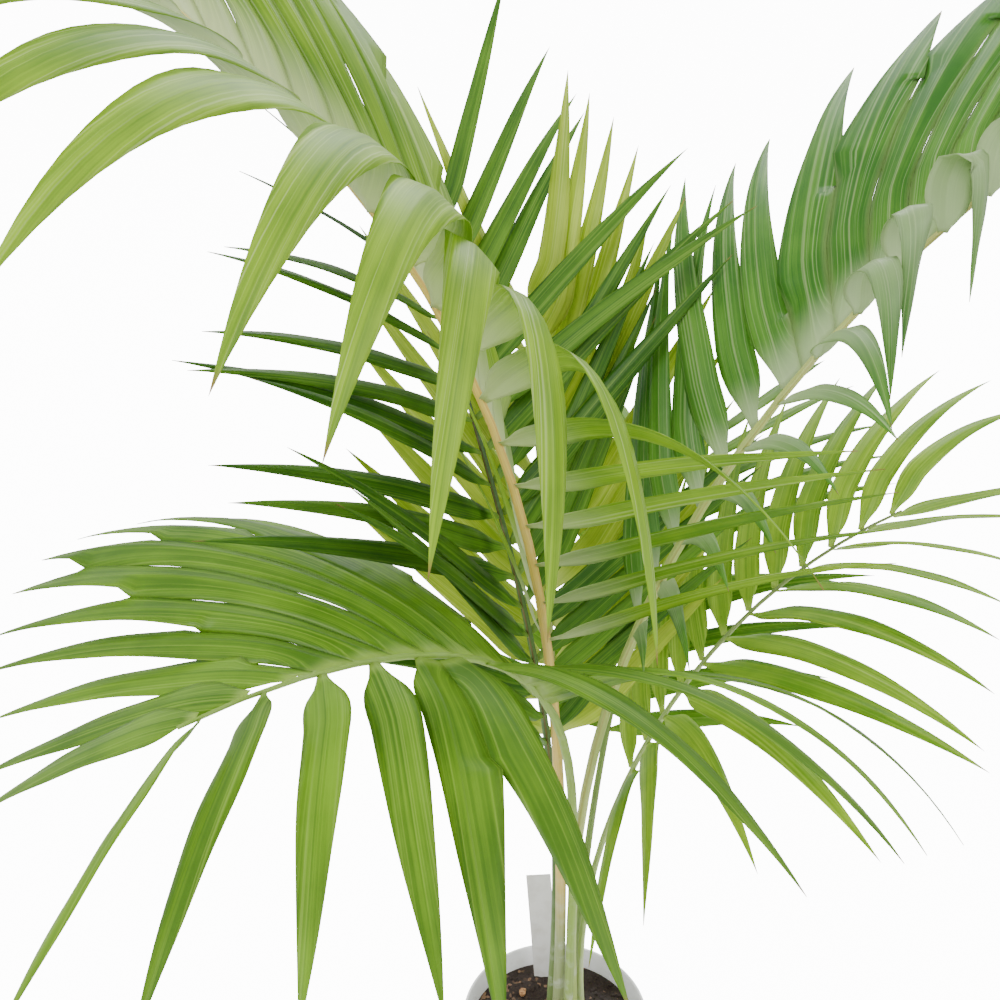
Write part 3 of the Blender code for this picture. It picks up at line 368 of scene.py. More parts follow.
# ---------------------------------------------------------------------------
# Fronds: how they grow
# Seven feather leaves from one clump. Each has a stalk that wraps the clump at the soil,
# bare to about the middle, and then a rib with a row of leaflets on either hand.
# Each frond is traced from the soil. Angles are degrees: lift is the slope at the soil,
# arch is how far the slope has dropped at the tip, heading is 0 towards +X and 90 towards
# +Y, and sway is how far the heading has turned at the tip. Lists run from the lowest
# leaflet to the highest: angle is from the midrib, rise is above the frond's plane, sag is
# how strongly a leaflet bends down and sweep how strongly it bends towards the frond's tip.
# Joined is the share of their length for which neighbours are still one pleated blade.
FRONDS = {
    "arching": dict(
        start=(0.002, 0.000), base_radius=0.0062, stalk_radius=0.0042,
        lift=84.5, arch=68, power=2.95, heading=-84, sway=-111, length=1.22, blade_from=0.42,
        left=dict(count=19, angle=(50, 56, 60, 46, 54, 56, 60, 35, 24), rise=(8, 8, 4, 30, 16, 11, 9, 8, 5),
                  sag=(0.3, 0.1, 0.1, 4.4, 2.8, 1.7, 0.9, 0.6, 0.5), sag_power=1.5,
                  sweep=(0.0, 0.0, 0.0, 0.6, 1.1, 0.5, 0.1, 0.0, 0.0),
                  length=(0.32, 0.34, 0.36, 0.34, 0.36, 0.37, 0.33, 0.28, 0.20),
                  width=(0.014, 0.017, 0.020, 0.038, 0.050, 0.048, 0.038, 0.028, 0.020),
                  joined=(0.0, 0.0)),
        right=dict(count=19, angle=(44, 40, 36, 32, 30, 28, 27, 26, 24),
                   rise=(30, 35, 40, 40, 35, 30, 20, 15, 10),
                   sag=(0.6, 0.7, 0.8, 0.8, 0.7, 0.6, 0.5, 0.4, 0.3), sag_power=1.0, sweep=(0.0, 0.0),
                   length=(0.22, 0.25, 0.27, 0.28, 0.28, 0.27, 0.25, 0.22, 0.18),
                   width=(0.018, 0.022, 0.024, 0.024, 0.020),
                   joined=(0.0, 0.0, 0.4, 0.8, 0.95, 0.95, 0.9, 0.7, 0.5))),
    "front_low": dict(
        start=(0.0115, -0.0175), base_radius=0.0046, stalk_radius=0.0038,
        lift=91, arch=99, power=1.9, heading=-79, sway=-68, length=0.87, blade_from=0.58,
        left=dict(count=10, angle=(70, 76, 78, 70, 62, 56, 60, 52, 46, 46),
                  rise=(36, 34, 28, 18, -4, -9, -11, 0, 16, 24),
                  sag=(1.8, 1.8, 1.5, 1.2, 1.0, 0.8, 0.2, 0.6, 0.7, 0.5), sag_power=1.0, sweep=(0.0, 0.0),
                  length=(0.37, 0.34, 0.31, 0.27, 0.26, 0.26, 0.25, 0.23, 0.23, 0.22),
                  width=(0.029, 0.029, 0.032, 0.032, 0.029, 0.029, 0.032, 0.030, 0.028, 0.026),
                  joined=(0.3, 0.2, 0.0, 0.0, 0.4, 0.0, 0.0, 0.0, 0.0)),
        right=dict(count=12, angle=(85, 78, 70, 66, 65, 62, 65, 72, 68),
                   rise=(27, 24, 20, 15, 9, 0, -12, -30, -35),
                   sag=(0.6, 0.8, 0.9, 0.9, 0.8, 0.7, 0.5, 0.2, 0.2), sag_power=1.0, sweep=(0.0, 0.0),
                   length=(0.26, 0.32, 0.35, 0.36, 0.34, 0.31, 0.30, 0.29, 0.26),
                   width=(0.034, 0.036, 0.036, 0.032, 0.026),
                   joined=(0.2, 0.3, 0.5, 0.7, 0.8, 0.6, 0.2, 0.0, 0.0))),
    "right_high": dict(
        start=(0.0172, -0.001), base_radius=0.0064, stalk_radius=0.0046,
        lift=93, arch=87, power=1.7, heading=-18, sway=53, length=1.11, blade_from=0.44,
        left=dict(count=17, angle=(45, 45, 54, 56, 42, 34, 30, 28, 24),
                  rise=(15, 28, 24, 20, 20, 12, 10, 8, 5),
                  sag=(0.3, 0.8, 1.1, 1.1, 0.8, 0.4, 0.3, 0.2, 0.1), sag_power=1.0, sweep=(0.6, 0.6),
                  length=(0.30, 0.28, 0.31, 0.33, 0.34, 0.33, 0.32, 0.28, 0.22),
                  width=(0.022, 0.025, 0.030, 0.034, 0.036, 0.036, 0.034, 0.030, 0.022),
                  joined=(0.0, 0.0, 0.0, 0.0, 0.6, 0.9, 0.95, 0.95, 0.8)),
        right=dict(count=15, angle=(60, 62, 60, 60, 58, 54, 50, 48, 40),
                   rise=(25, 28, 28, 30, 70, 88, 85, 70, 30),
                   sag=(0.6, 0.7, 0.7, 0.8, 2.2, 2.8, 2.8, 2.4, 1.2), sag_power=1.0, sweep=(0.0, 0.0),
                   length=(0.18, 0.20, 0.20, 0.19, 0.18, 0.18, 0.18, 0.18, 0.16),
                   width=(0.018, 0.020, 0.020, 0.024, 0.032, 0.036, 0.036, 0.034, 0.024),
                   joined=(0.0, 0.0))),
    "right_low": dict(
        start=(0.0275, 0.0100), base_radius=0.0042, stalk_radius=0.0028,
        lift=97, arch=78, power=1.2, heading=36, sway=-22, length=0.65, blade_from=0.48,
        left=dict(count=12, angle=(36, 40, 48, 54, 54, 46, 42, 38, 30), rise=(4, 4, 2, 2, 4, 14, 18, 18, 18),
                  sag=(1.0, 0.6, 0.4, 0.3, 0.4, 0.6, 0.7, 0.7, 0.8), sag_power=1.0, sweep=(0.4, 0.4),
                  length=(0.20, 0.24, 0.26, 0.26, 0.25, 0.26, 0.26, 0.26, 0.24),
                  width=(0.020, 0.022, 0.024, 0.024, 0.020), joined=(0.0, 0.0)),
        right=dict(count=12, angle=(72, 70, 70, 68, 62, 66, 70, 74, 60),
                   rise=(50, 42, 26, 20, 26, 32, 32, 34, 34),
                   sag=(1.6, 0.6, 0.5, 0.4, 0.6, 0.5, 0.4, 0.3, 0.3), sag_power=1.0, sweep=(0.0, 0.0),
                   length=(0.22, 0.30, 0.34, 0.35, 0.31, 0.30, 0.27, 0.28, 0.26),
                   width=(0.022, 0.026, 0.028, 0.026, 0.022), joined=(0.0, 0.0))),
    "back_young": dict(
        start=(0.0070, 0.0155), base_radius=0.0044, stalk_radius=0.0032,
        lift=88, arch=20, power=1.0, heading=106, sway=0, length=0.72, blade_from=0.46,
        left=dict(count=12, angle=(44, 38, 32, 27, 20), rise=(10, 12, 14, 12, 5),
                  sag=(0.2, 0.2, 0.2, 0.1, 0.0), sag_power=1.0, sweep=(0.0, 0.0),
                  length=(0.20, 0.25, 0.27, 0.25, 0.20), width=(0.026, 0.030, 0.026), joined=(0.0, 0.0)),
        right=dict(count=12, angle=(44, 38, 32, 27, 20), rise=(10, 12, 14, 12, 5),
                   sag=(0.2, 0.2, 0.2, 0.1, 0.0), sag_power=1.0, sweep=(0.0, 0.0),
                   length=(0.20, 0.25, 0.27, 0.25, 0.20), width=(0.026, 0.030, 0.026), joined=(0.0, 0.0))),
    "back_left": dict(
        start=(-0.0050, 0.0105), base_radius=0.0046, stalk_radius=0.0038,
        lift=92, arch=38, power=1.75, heading=199, sway=-83, length=0.80, blade_from=0.44,
        left=dict(count=17, angle=(40, 40, 44, 52, 54, 60, 64, 70, 72),
                  rise=(8, 5, 8, 13, 12, 20, 28, 40, 50),
                  sag=(0.3, 0.3, 0.3, 0.3, 0.3, 0.3, 0.3, 0.3, 0.1), sag_power=1.0, sweep=(0.0, 0.0),
                  length=(0.30, 0.33, 0.34, 0.34, 0.31, 0.32, 0.28, 0.27, 0.25),
                  width=(0.020, 0.023, 0.024, 0.022, 0.018), joined=(0.0, 0.0)),
        right=dict(count=17, angle=(60, 60, 62, 64, 64, 66, 60, 50, 28),
                   rise=(20, 25, 30, 32, 30, 10, 4, -10, -20),
                   sag=(0.2, 0.2, 0.2, 0.2, 0.2, 0.3, 0.3, 0.3, 0.3), sag_power=1.0, sweep=(0.0, 0.0),
                   length=(0.22, 0.25, 0.26, 0.26, 0.28, 0.29, 0.28, 0.27, 0.27),
                   width=(0.020, 0.023, 0.024, 0.022, 0.018), joined=(0.0, 0.0))),
    "back_right": dict(
        start=(0.0175, 0.0155), base_radius=0.0044, stalk_radius=0.0032,
        lift=84, arch=60, power=1.3, heading=75, sway=-15, length=0.62, blade_from=0.50,
        left=dict(count=10, angle=(60, 55, 50, 45, 20), rise=(15, 15, 15, 10, 5),
                  sag=(0.6, 0.6, 0.5, 0.5, 0.4), sag_power=1.0, sweep=(0.0, 0.0),
                  length=(0.18, 0.22, 0.24, 0.22, 0.18), width=(0.022, 0.022), joined=(0.0, 0.0)),
        right=dict(count=10, angle=(60, 55, 50, 45, 20), rise=(15, 15, 15, 10, 5),
                   sag=(0.6, 0.6, 0.5, 0.5, 0.4), sag_power=1.0, sweep=(0.0, 0.0),
                   length=(0.18, 0.22, 0.24, 0.22, 0.18), width=(0.022, 0.022), joined=(0.0, 0.0))),
}

SEAT_CLEARANCE = 0.0006
SEAT_WIDTH = 0.0020
LEAF_THICKNESS = 0.0008
LEAF_CLEARANCE = 0.0009
STALK_CLEARANCE = 0.0018
SAME_FROND_CLEARANCE = 0.0001
# Sides of the tube that stands for a stalk when leaflets are laid clear of it
TUBE_SIDES = 6
MIDRIB_STEPS = 22
MIDRIB_TIP_RADIUS = 0.0013
# The share of the bare stalk over which its sheathing base narrows by half
SHEATH_SHARE = 0.25
LAST_LEAFLET_AT = 0.985
WIDEST_AT = 0.22
BASE_NARROWING = 0.6
# The outline at the foot is as wide as it would be this share further on
FOOT_SWELL = 0.06
TIP_NARROWING = 2.0
TIP_SHARPNESS = 1.05
ROWS = (0.0, 0.10, 0.32, 0.56, 0.80, 1.0)
BEND_STEPS = 20
SLAT_TURN = (18, 24, 38)
LEAN_STEP = 5
LEAN_MOST = 25
SHORTER = (1.0, 0.85, 0.7, 0.55, 0.4, 0.25)
JOINED_LEAST = 0.1
PLEAT_DEPTH = 0.0022
LOBE_TAPER = 0.85
DOWN = np.array((0.0, 0.0, -1.0))


def unit(vectors):
    vectors = np.asarray(vectors, float)
    return vectors / np.maximum(np.linalg.norm(vectors, axis=-1, keepdims=True), 1e-9)


def knots(share, values):
    """The value at a share of the way along an evenly spaced list."""
    return float(np.interp(share, np.linspace(0.0, 1.0, len(values)), values))


def sampled(share, fine, values):
    """Rows of a table of vectors read at the given shares."""
    return np.stack([np.interp(share, fine, values[:, axis]) for axis in range(3)], -1)


def midrib_line(frond, steps=MIDRIB_STEPS):
    """Shares, points and the directions along, rightwards and upwards of a midrib."""
    share = np.linspace(0.0, 1.0, steps + 1)
    slope = np.radians(frond["lift"] - frond["arch"] * share ** frond["power"])
    course = np.radians(frond["heading"] + frond["sway"] * share)
    along = np.stack([np.cos(slope) * np.cos(course), np.cos(slope) * np.sin(course), np.sin(slope)], 1)
    above = np.stack([-np.sin(slope) * np.cos(course), -np.sin(slope) * np.sin(course), np.cos(slope)], 1)
    right = np.stack([np.sin(course), -np.cos(course), 0 * course], 1)
    start = np.array((*frond["start"], SOIL_LEVEL))
    step = frond["length"] / steps
    points = start + np.vstack([np.zeros(3), np.cumsum((along[1:] + along[:-1]) / 2 * step, axis=0)])
    return share, points, along, right, above


def at_share(line, where):
    """The point and directions at a share of the midrib's length."""
    point, along, right, above = (sampled(where, line[0], values) for values in line[1:])
    return point, unit(along), unit(right), unit(above)


def midrib_radius(frond, where):
    """A stout sheathing base, a stalk, and a rib that runs out at the tip."""
    shares = (0.0, SHEATH_SHARE * frond["blade_from"], frond["blade_from"], 1.0)
    middle = (frond["base_radius"] + frond["stalk_radius"]) / 2
    radii = (frond["base_radius"], middle, frond["stalk_radius"], MIDRIB_TIP_RADIUS)
    return float(np.interp(where, shares, radii))


def leaflet_shape(frond, line, hand, place, lean, shorter, rows):
    """Centre points, directions across and along, and widths of one leaflet at some shares of its length."""
    side = frond["right"] if hand > 0 else frond["left"]
    where = frond["blade_from"] + (LAST_LEAFLET_AT - frond["blade_from"]) * place
    point, along, right, above = at_share(line, where)
    outward = right * hand
    angle = math.radians(knots(place, side["angle"]) + lean[0])
    rise = math.radians(knots(place, side["rise"]) + lean[1])
    seat = midrib_radius(frond, where) + SEAT_CLEARANCE + SEAT_WIDTH
    point = point + outward * seat
    first = math.cos(angle) * along + math.sin(angle) * (outward * math.cos(rise) + above * math.sin(rise))
    reach = knots(place, side["length"]) * shorter
    fine = np.linspace(0.0, 1.0, BEND_STEPS + 1)
    droop = (knots(place, side["sag"]) * fine ** side["sag_power"])[:, None] * DOWN
    bend = unit(first + droop + (knots(place, side["sweep"]) * fine)[:, None] * along)
    steps = (bend[1:] + bend[:-1]) / 2 * reach / BEND_STEPS
    path = point + np.vstack([np.zeros(3), np.cumsum(steps, axis=0)])
    share = np.array(rows)
    centre = sampled(share, fine, path)
    heading = unit(sampled(share, fine, bend))
    across = unit(along - heading * (heading @ along)[:, None])
    face = unit(np.cross(heading, across)) * hand
    slat = math.radians(knots(place, SLAT_TURN))
    across = across * math.cos(slat) - face * math.sin(slat)
    swell = np.minimum(1.0, (share + FOOT_SWELL) / WIDEST_AT) ** BASE_NARROWING
    width = knots(place, side["width"]) * swell * (1 - share ** TIP_NARROWING) ** TIP_SHARPNESS
    stand_off = math.cos(angle) ** 2 * np.minimum(1.0, share / WIDEST_AT)
    centre = centre - across * (0.5 * width * stand_off)[:, None]
    return centre, across, heading, width


def blade_edges(leaflets, joins, rows):
    """Low and high margins of each (centre, across, face, half width), joined ones in one seam."""
    rows = np.array(rows)
    edges = [[centre - across * half[:, None], centre + across * half[:, None]]
             for centre, across, _, half in leaflets]
    for index, joined in enumerate(joins):
        if joined <= JOINED_LEAST:
            continue
        low, high = leaflets[index], leaflets[index + 1]
        seam = (low[0] + high[0]) / 2 - (low[2] + high[2]) / 2 * PLEAT_DEPTH
        # Past the split each margin runs in to its own tip from where the seam ended.
        past = np.clip((rows - joined) / (1 - joined), 0.0, 1.0)
        for (centre, across, _, half), edge, hand in ((low, edges[index], 1), (high, edges[index + 1], -1)):
            ended = np.interp(joined, rows, np.linalg.norm(seam - centre, axis=1))
            lobe = np.maximum(half, ended * (1 - past) ** LOBE_TAPER)
            free = centre + hand * across * lobe[:, None]
            side = 1 if hand > 0 else 0
            edge[side] = np.where((rows <= joined)[:, None], seam, free)
    return edges


def boxed_tree(verts, faces):
    verts = np.array(verts)
    tree = BVHTree.FromPolygons([Vector(vert) for vert in verts], faces)
    return tree, verts.min(axis=0), verts.max(axis=0)


def prism(centre, across, heading, width, room):
    """A closed band with some room round a leaflet, as a tree for overlap tests."""
    through = unit(np.cross(heading, across)) * (LEAF_THICKNESS / 2 + room)
    reach = across * (width / 2 + room)[:, None]
    corners = np.stack([centre - reach - through, centre + reach - through,
                        centre + reach + through, centre - reach + through], 1)
    last = 4 * (len(centre) - 1)
    faces = [(low + k, low + (k + 1) % 4, low + 4 + (k + 1) % 4, low + 4 + k)
             for low in range(0, last, 4) for k in range(4)]
    faces += [(0, 1, 2, 3), (last, last + 1, last + 2, last + 3)]
    return boxed_tree(corners.reshape(-1, 3), faces)


def tube_tree(frond, line):
    """A midrib with room to spare round it, as a tree for overlap tests."""
    share, points, _, right, above = line
    verts = []
    for index, where in enumerate(share):
        radius = (midrib_radius(frond, where) + STALK_CLEARANCE) / math.cos(math.pi / TUBE_SIDES)
        for turn in np.linspace(0.0, 2 * math.pi, TUBE_SIDES, endpoint=False):
            aside = math.cos(turn) * right[index] + math.sin(turn) * above[index]
            verts.append(points[index] + radius * aside)
    faces = []
    for row in range(len(share) - 1):
        low, high = TUBE_SIDES * row, TUBE_SIDES * (row + 1)
        faces += [(low + k, low + (k + 1) % TUBE_SIDES, high + (k + 1) % TUBE_SIDES, high + k)
                  for k in range(TUBE_SIDES)]
    return boxed_tree(verts, faces)


def meets(first, second):
    """Whether two trees with their boxes cross."""
    if np.any(first[1] > second[2]) or np.any(second[1] > first[2]):
        return False
    return bool(first[0].overlap(second[0]))


def leans():
    """Every lean of (angle, rise) in degrees, the smallest first."""
    steps = range(-LEAN_MOST, LEAN_MOST + 1, LEAN_STEP)
    pairs = [(turn, tilt) for turn in steps for tilt in steps]
    return sorted(pairs, key=lambda lean: abs(lean[0]) + abs(lean[1]))


def settle_leaflets(name, frond, line, hand, placed, stalks):
    """The lean and length of each leaflet of one side, from the lowest up, that keep it clear."""
    side = frond["right"] if hand > 0 else frond["left"]
    settled = []
    half_step = 0.5 / (side["count"] - 1)
    for index in range(side["count"]):
        place = index / (side["count"] - 1)
        # A leaflet needn't clear the neighbour it is joined to.
        free = placed[:-1] if index and knots(place - half_step, side["joined"]) > JOINED_LEAST else placed
        for shorter, lean in ((length, lean) for length in SHORTER for lean in leans()):
            shape = leaflet_shape(frond, line, hand, place, lean, shorter, ROWS)
            whole = prism(*shape, LEAF_CLEARANCE)
            blade = prism(*(part[1:] for part in shape), SAME_FROND_CLEARANCE)
            tail = prism(*(part[2:] for part in shape), SAME_FROND_CLEARANCE)
            crossed = any(meets(whole, other) for owner, other, _ in placed if owner != name)
            crossed = crossed or any(meets(blade, other) for owner, _, other in free if owner == name)
            crossed = crossed or any(meets(whole if owner != name else tail, stalk)
                                     for owner, stalk in stalks)
            if not crossed:
                break
        settled.append((place, lean, shorter))
        placed.append((name, whole, blade))
    return settled


lines = {name: midrib_line(frond) for name, frond in FRONDS.items()}
stalk_trees = [(name, tube_tree(FRONDS[name], line)) for name, line in lines.items()]
placed_leaflets = []
settled_sides = {}
for name, frond in FRONDS.items():
    for hand in (-1, 1):
        settled = settle_leaflets(name, frond, lines[name], hand, placed_leaflets, stalk_trees)
        settled_sides[name, hand] = settled

# ---------------------------------------------------------------------------
# Stalks and ribs
# Each frond's stalk is one tough fibrous rod. At the soil it widens into a grey, scurfy sheath
# round its neighbours, and higher up its upper side is grooved between the leaflets.
STALK_SIDES = 24
STALK_ROWS = 150
# Frond: colour at the sheath, of the stalk, of the rib at the tip, and of the edge lines.
STALK_COLOURS = {
    "arching": ("#94A26C", "#E2C45E", "#CFBE50", "#B2742E"),
    "front_low": ("#8CA454", "#88A83E", "#86A83E", "#6E8E36"),
    "right_high": ("#A8BE64", "#B6C66C", "#B2B458", "#98863E"),
    "right_low": ("#BACB8C", "#A9C470", "#6E8440", "#8C9A54"),
    "back_young": ("#C2CC96", "#C4CE7C", "#BFC96C", "#A9B060"),
    "back_left": ("#768C50", "#4C6E26", "#2E4A18", "#86402A"),
    "back_right": ("#93A474", "#7B9A48", "#5F8238", "#7A6A3A"),
}


def stalk_material(name, sheath, stalk, rib, edge):
    """Fibrous leaf stalk: a satin skin with fine lengthwise fibres and a scurfy grey foot."""
    material = new_material(name)
    share = add_node(material, "ShaderNodeAttribute", {"attribute_name": "share"})
    uv = add_node(material, "ShaderNodeUVMap", {"uv_map": "skin"})
    place = add_node(material, "ShaderNodeTexCoord")
    fibre_place = add_node(material, "ShaderNodeMapping", Vector=uv.outputs[0], Scale=(1100.0, 14.0, 1.0))
    fibres = add_node(material, "ShaderNodeTexNoise", Vector=fibre_place.outputs[0], Scale=1.0, Detail=3.0)
    blotch = add_node(material, "ShaderNodeTexNoise", Vector=place.outputs["Object"], Scale=55.0, Detail=4.0)
    rise = add_node(material, "ShaderNodeMapRange", {"interpolation_type": "SMOOTHSTEP"},
                    Value=share.outputs["Fac"], i1=0.10, i2=0.22)
    lower = add_node(material, "ShaderNodeMix", {"data_type": "RGBA"}, Factor=rise.outputs[0],
                     i6=linear(sheath), i7=linear(stalk))
    high = add_node(material, "ShaderNodeMapRange", {"interpolation_type": "SMOOTHSTEP"},
                    Value=share.outputs["Fac"], i1=0.50, i2=0.95)
    whole = add_node(material, "ShaderNodeMix", {"data_type": "RGBA"}, Factor=high.outputs[0],
                     i6=lower.outputs["Result"], i7=linear(rib))
    side = add_node(material, "ShaderNodeAttribute", {"attribute_name": "edge"})
    lined = add_node(material, "ShaderNodeMix", {"data_type": "RGBA"}, Factor=side.outputs["Fac"],
                     i6=whole.outputs["Result"], i7=linear(edge))
    # Grey waxy scurf clings in flecks, thickest at the foot.
    foot = add_node(material, "ShaderNodeMapRange", Value=share.outputs["Fac"],
                    i1=0.02, i2=0.20, i3=0.6, i4=0.08)
    flecks = add_node(material, "ShaderNodeMapRange", Value=blotch.outputs["Fac"], i1=0.52, i2=0.66)
    scurf = add_node(material, "ShaderNodeMath", {"operation": "MULTIPLY"},
                     i0=foot.outputs[0], i1=flecks.outputs[0])
    waxed = add_node(material, "ShaderNodeMix", {"data_type": "RGBA"}, Factor=scurf.outputs[0],
                     i6=lined.outputs["Result"], i7=linear("#D2D9C2"))
    shade = add_node(material, "ShaderNodeMapRange", Value=fibres.outputs["Fac"],
                     i1=0.3, i2=0.7, i3=0.78, i4=1.08)
    grey = add_node(material, "ShaderNodeCombineXYZ",
                    X=shade.outputs[0], Y=shade.outputs[0], Z=shade.outputs[0])
    final = add_node(material, "ShaderNodeMix", {"data_type": "RGBA", "blend_type": "MULTIPLY"}, Factor=1.0,
                     i6=waxed.outputs["Result"], i7=grey.outputs[0])
    thread = add_node(material, "ShaderNodeBump", Strength=0.4, Distance=0.0003,
                      Height=fibres.outputs["Fac"])
    skin = add_node(material, "ShaderNodeBsdfPrincipled", Base_Color=final.outputs["Result"], Roughness=0.5,
                    Normal=thread.outputs[0])
    skin.inputs["Subsurface Weight"].default_value = 0.15
    skin.inputs["Subsurface Radius"].default_value = (0.002, 0.003, 0.001)
    add_node(material, "ShaderNodeOutputMaterial", Surface=skin.outputs[0])
    return material


def stalk_piece(name, frond_name, material):
    """The stalk and rib: a rod swept along the frond's line, grooved above, thick at its foot."""
    frond, line = FRONDS[frond_name], lines[frond_name]
    shares = np.concatenate([[-0.030 / frond["length"]], np.linspace(0.0, 1.0, STALK_ROWS) ** 0.9])
    verts, values, edges, maps = [], [], [], []
    for share in shares:
        point, along, right, above = at_share(line, max(share, 0.0))
        if share < 0:
            point = point + along * share * frond["length"]
        radius = midrib_radius(frond, max(share, 0.0))
        blade = min(1.0, max(0.0, (share - 0.7 * frond["blade_from"]) / 0.1))
        groove = 0.30 * min(1.0, max(0.0, (share - 0.08) / 0.1))
        for side in range(STALK_SIDES):
            turn = 2 * math.pi * side / STALK_SIDES
            x, y = math.cos(turn), math.sin(turn)
            y = y * (1 - groove * max(0.0, y) ** 2 * (1 - min(1.0, abs(x) * 1.6)) * 1.6)
            y = y * (0.92 if y < 0 else 0.86)
            x = x * (0.97 - 0.05 * blade)
            verts.append(point + radius * (x * right + y * above))
            values.append(max(share, 0.0))
            near_edge = max(0.0, 1 - abs(math.sin(turn) - 0.35) * 5)
            edges.append(near_edge * min(1.0, max(0.0, (share - 0.1) * 8)))
            maps.append((turn * radius, share * frond["length"]))
    faces = [(STALK_SIDES * row + k, STALK_SIDES * row + (k + 1) % STALK_SIDES,
              STALK_SIDES * (row + 1) + (k + 1) % STALK_SIDES, STALK_SIDES * (row + 1) + k)
             for row in range(len(shares) - 1) for k in range(STALK_SIDES)]
    faces += [tuple(reversed(range(STALK_SIDES))), tuple(range(len(verts) - STALK_SIDES, len(verts)))]
    mesh = bpy.data.meshes.new(name)
    mesh.from_pydata([tuple(vert) for vert in verts], [], faces)
    corners = np.zeros(len(mesh.loops), int)
    mesh.loops.foreach_get("vertex_index", corners)
    mesh.uv_layers.new(name="skin").data.foreach_set("uv", np.array(maps)[corners].ravel())
    mesh.attributes.new("share", "FLOAT", "POINT").data.foreach_set("value", values)
    mesh.attributes.new("edge", "FLOAT", "POINT").data.foreach_set("value", edges)
    mesh.shade_smooth()
    piece = bpy.data.objects.new(name, mesh)
    bpy.context.scene.collection.objects.link(piece)
    piece.data.materials.append(material)
    return piece


for frond_name, colours in STALK_COLOURS.items():
    stalk_skin = stalk_material(f"{frond_name}_stalk_skin", *colours)
    piece = stalk_piece(f"{frond_name}_stalk", frond_name, stalk_skin)
    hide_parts(f"{frond_name}_midrib")
    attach(piece, "root")

# ---------------------------------------------------------------------------
# Leaflets
# Thin living blades, folded along the middle rib, with fine parallel veins. Light shines
# through them. A young frond's leaflets are still joined edge to edge as one pleated blade.
BLADE_COLUMNS = 10
BLADE_ROWS = 40
BLADE_THICKNESS = 0.0005
KEEL_DEPTH = 0.22
VEIN_SPACING = 0.0011
# Frond: dark and light green of the blade, its pale wax and veins, its rib, and the light
# that comes through.
LEAF_COLOURS = {
    "arching": ("#5F8E14", "#A8CC2E", "#E0E8B8", "#6A9428", "#A4D01C"),
    "front_low": ("#527E10", "#8CB82A", "#B0CC62", "#4A7616", "#96C418"),
    "right_high": ("#38761A", "#76AE3A", "#CCDCAC", "#B4CA88", "#7CBC2A"),
    "right_low": ("#6C9E1A", "#B6D63C", "#C8DE6E", "#86AC32", "#AAD424"),
    "back_young": ("#98B61E", "#D4E450", "#E4EE90", "#A4BE34", "#C4DC28"),
    "back_left": ("#386C12", "#78AA2E", "#98BA54", "#2C5A10", "#7CB41E"),
    "back_right": ("#487C12", "#86B42E", "#A6C656", "#A4C45A", "#8ABC20"),
}
# The share of a leaflet's length over which a silvery wax fades out; the curled leaflets
# under the high right frond keep it to their tips
WAXED_SHARE = {"arching": 0.34, "right_high": 0.14, "back_young": 0.12}
CURLED_SHARE = 0.95


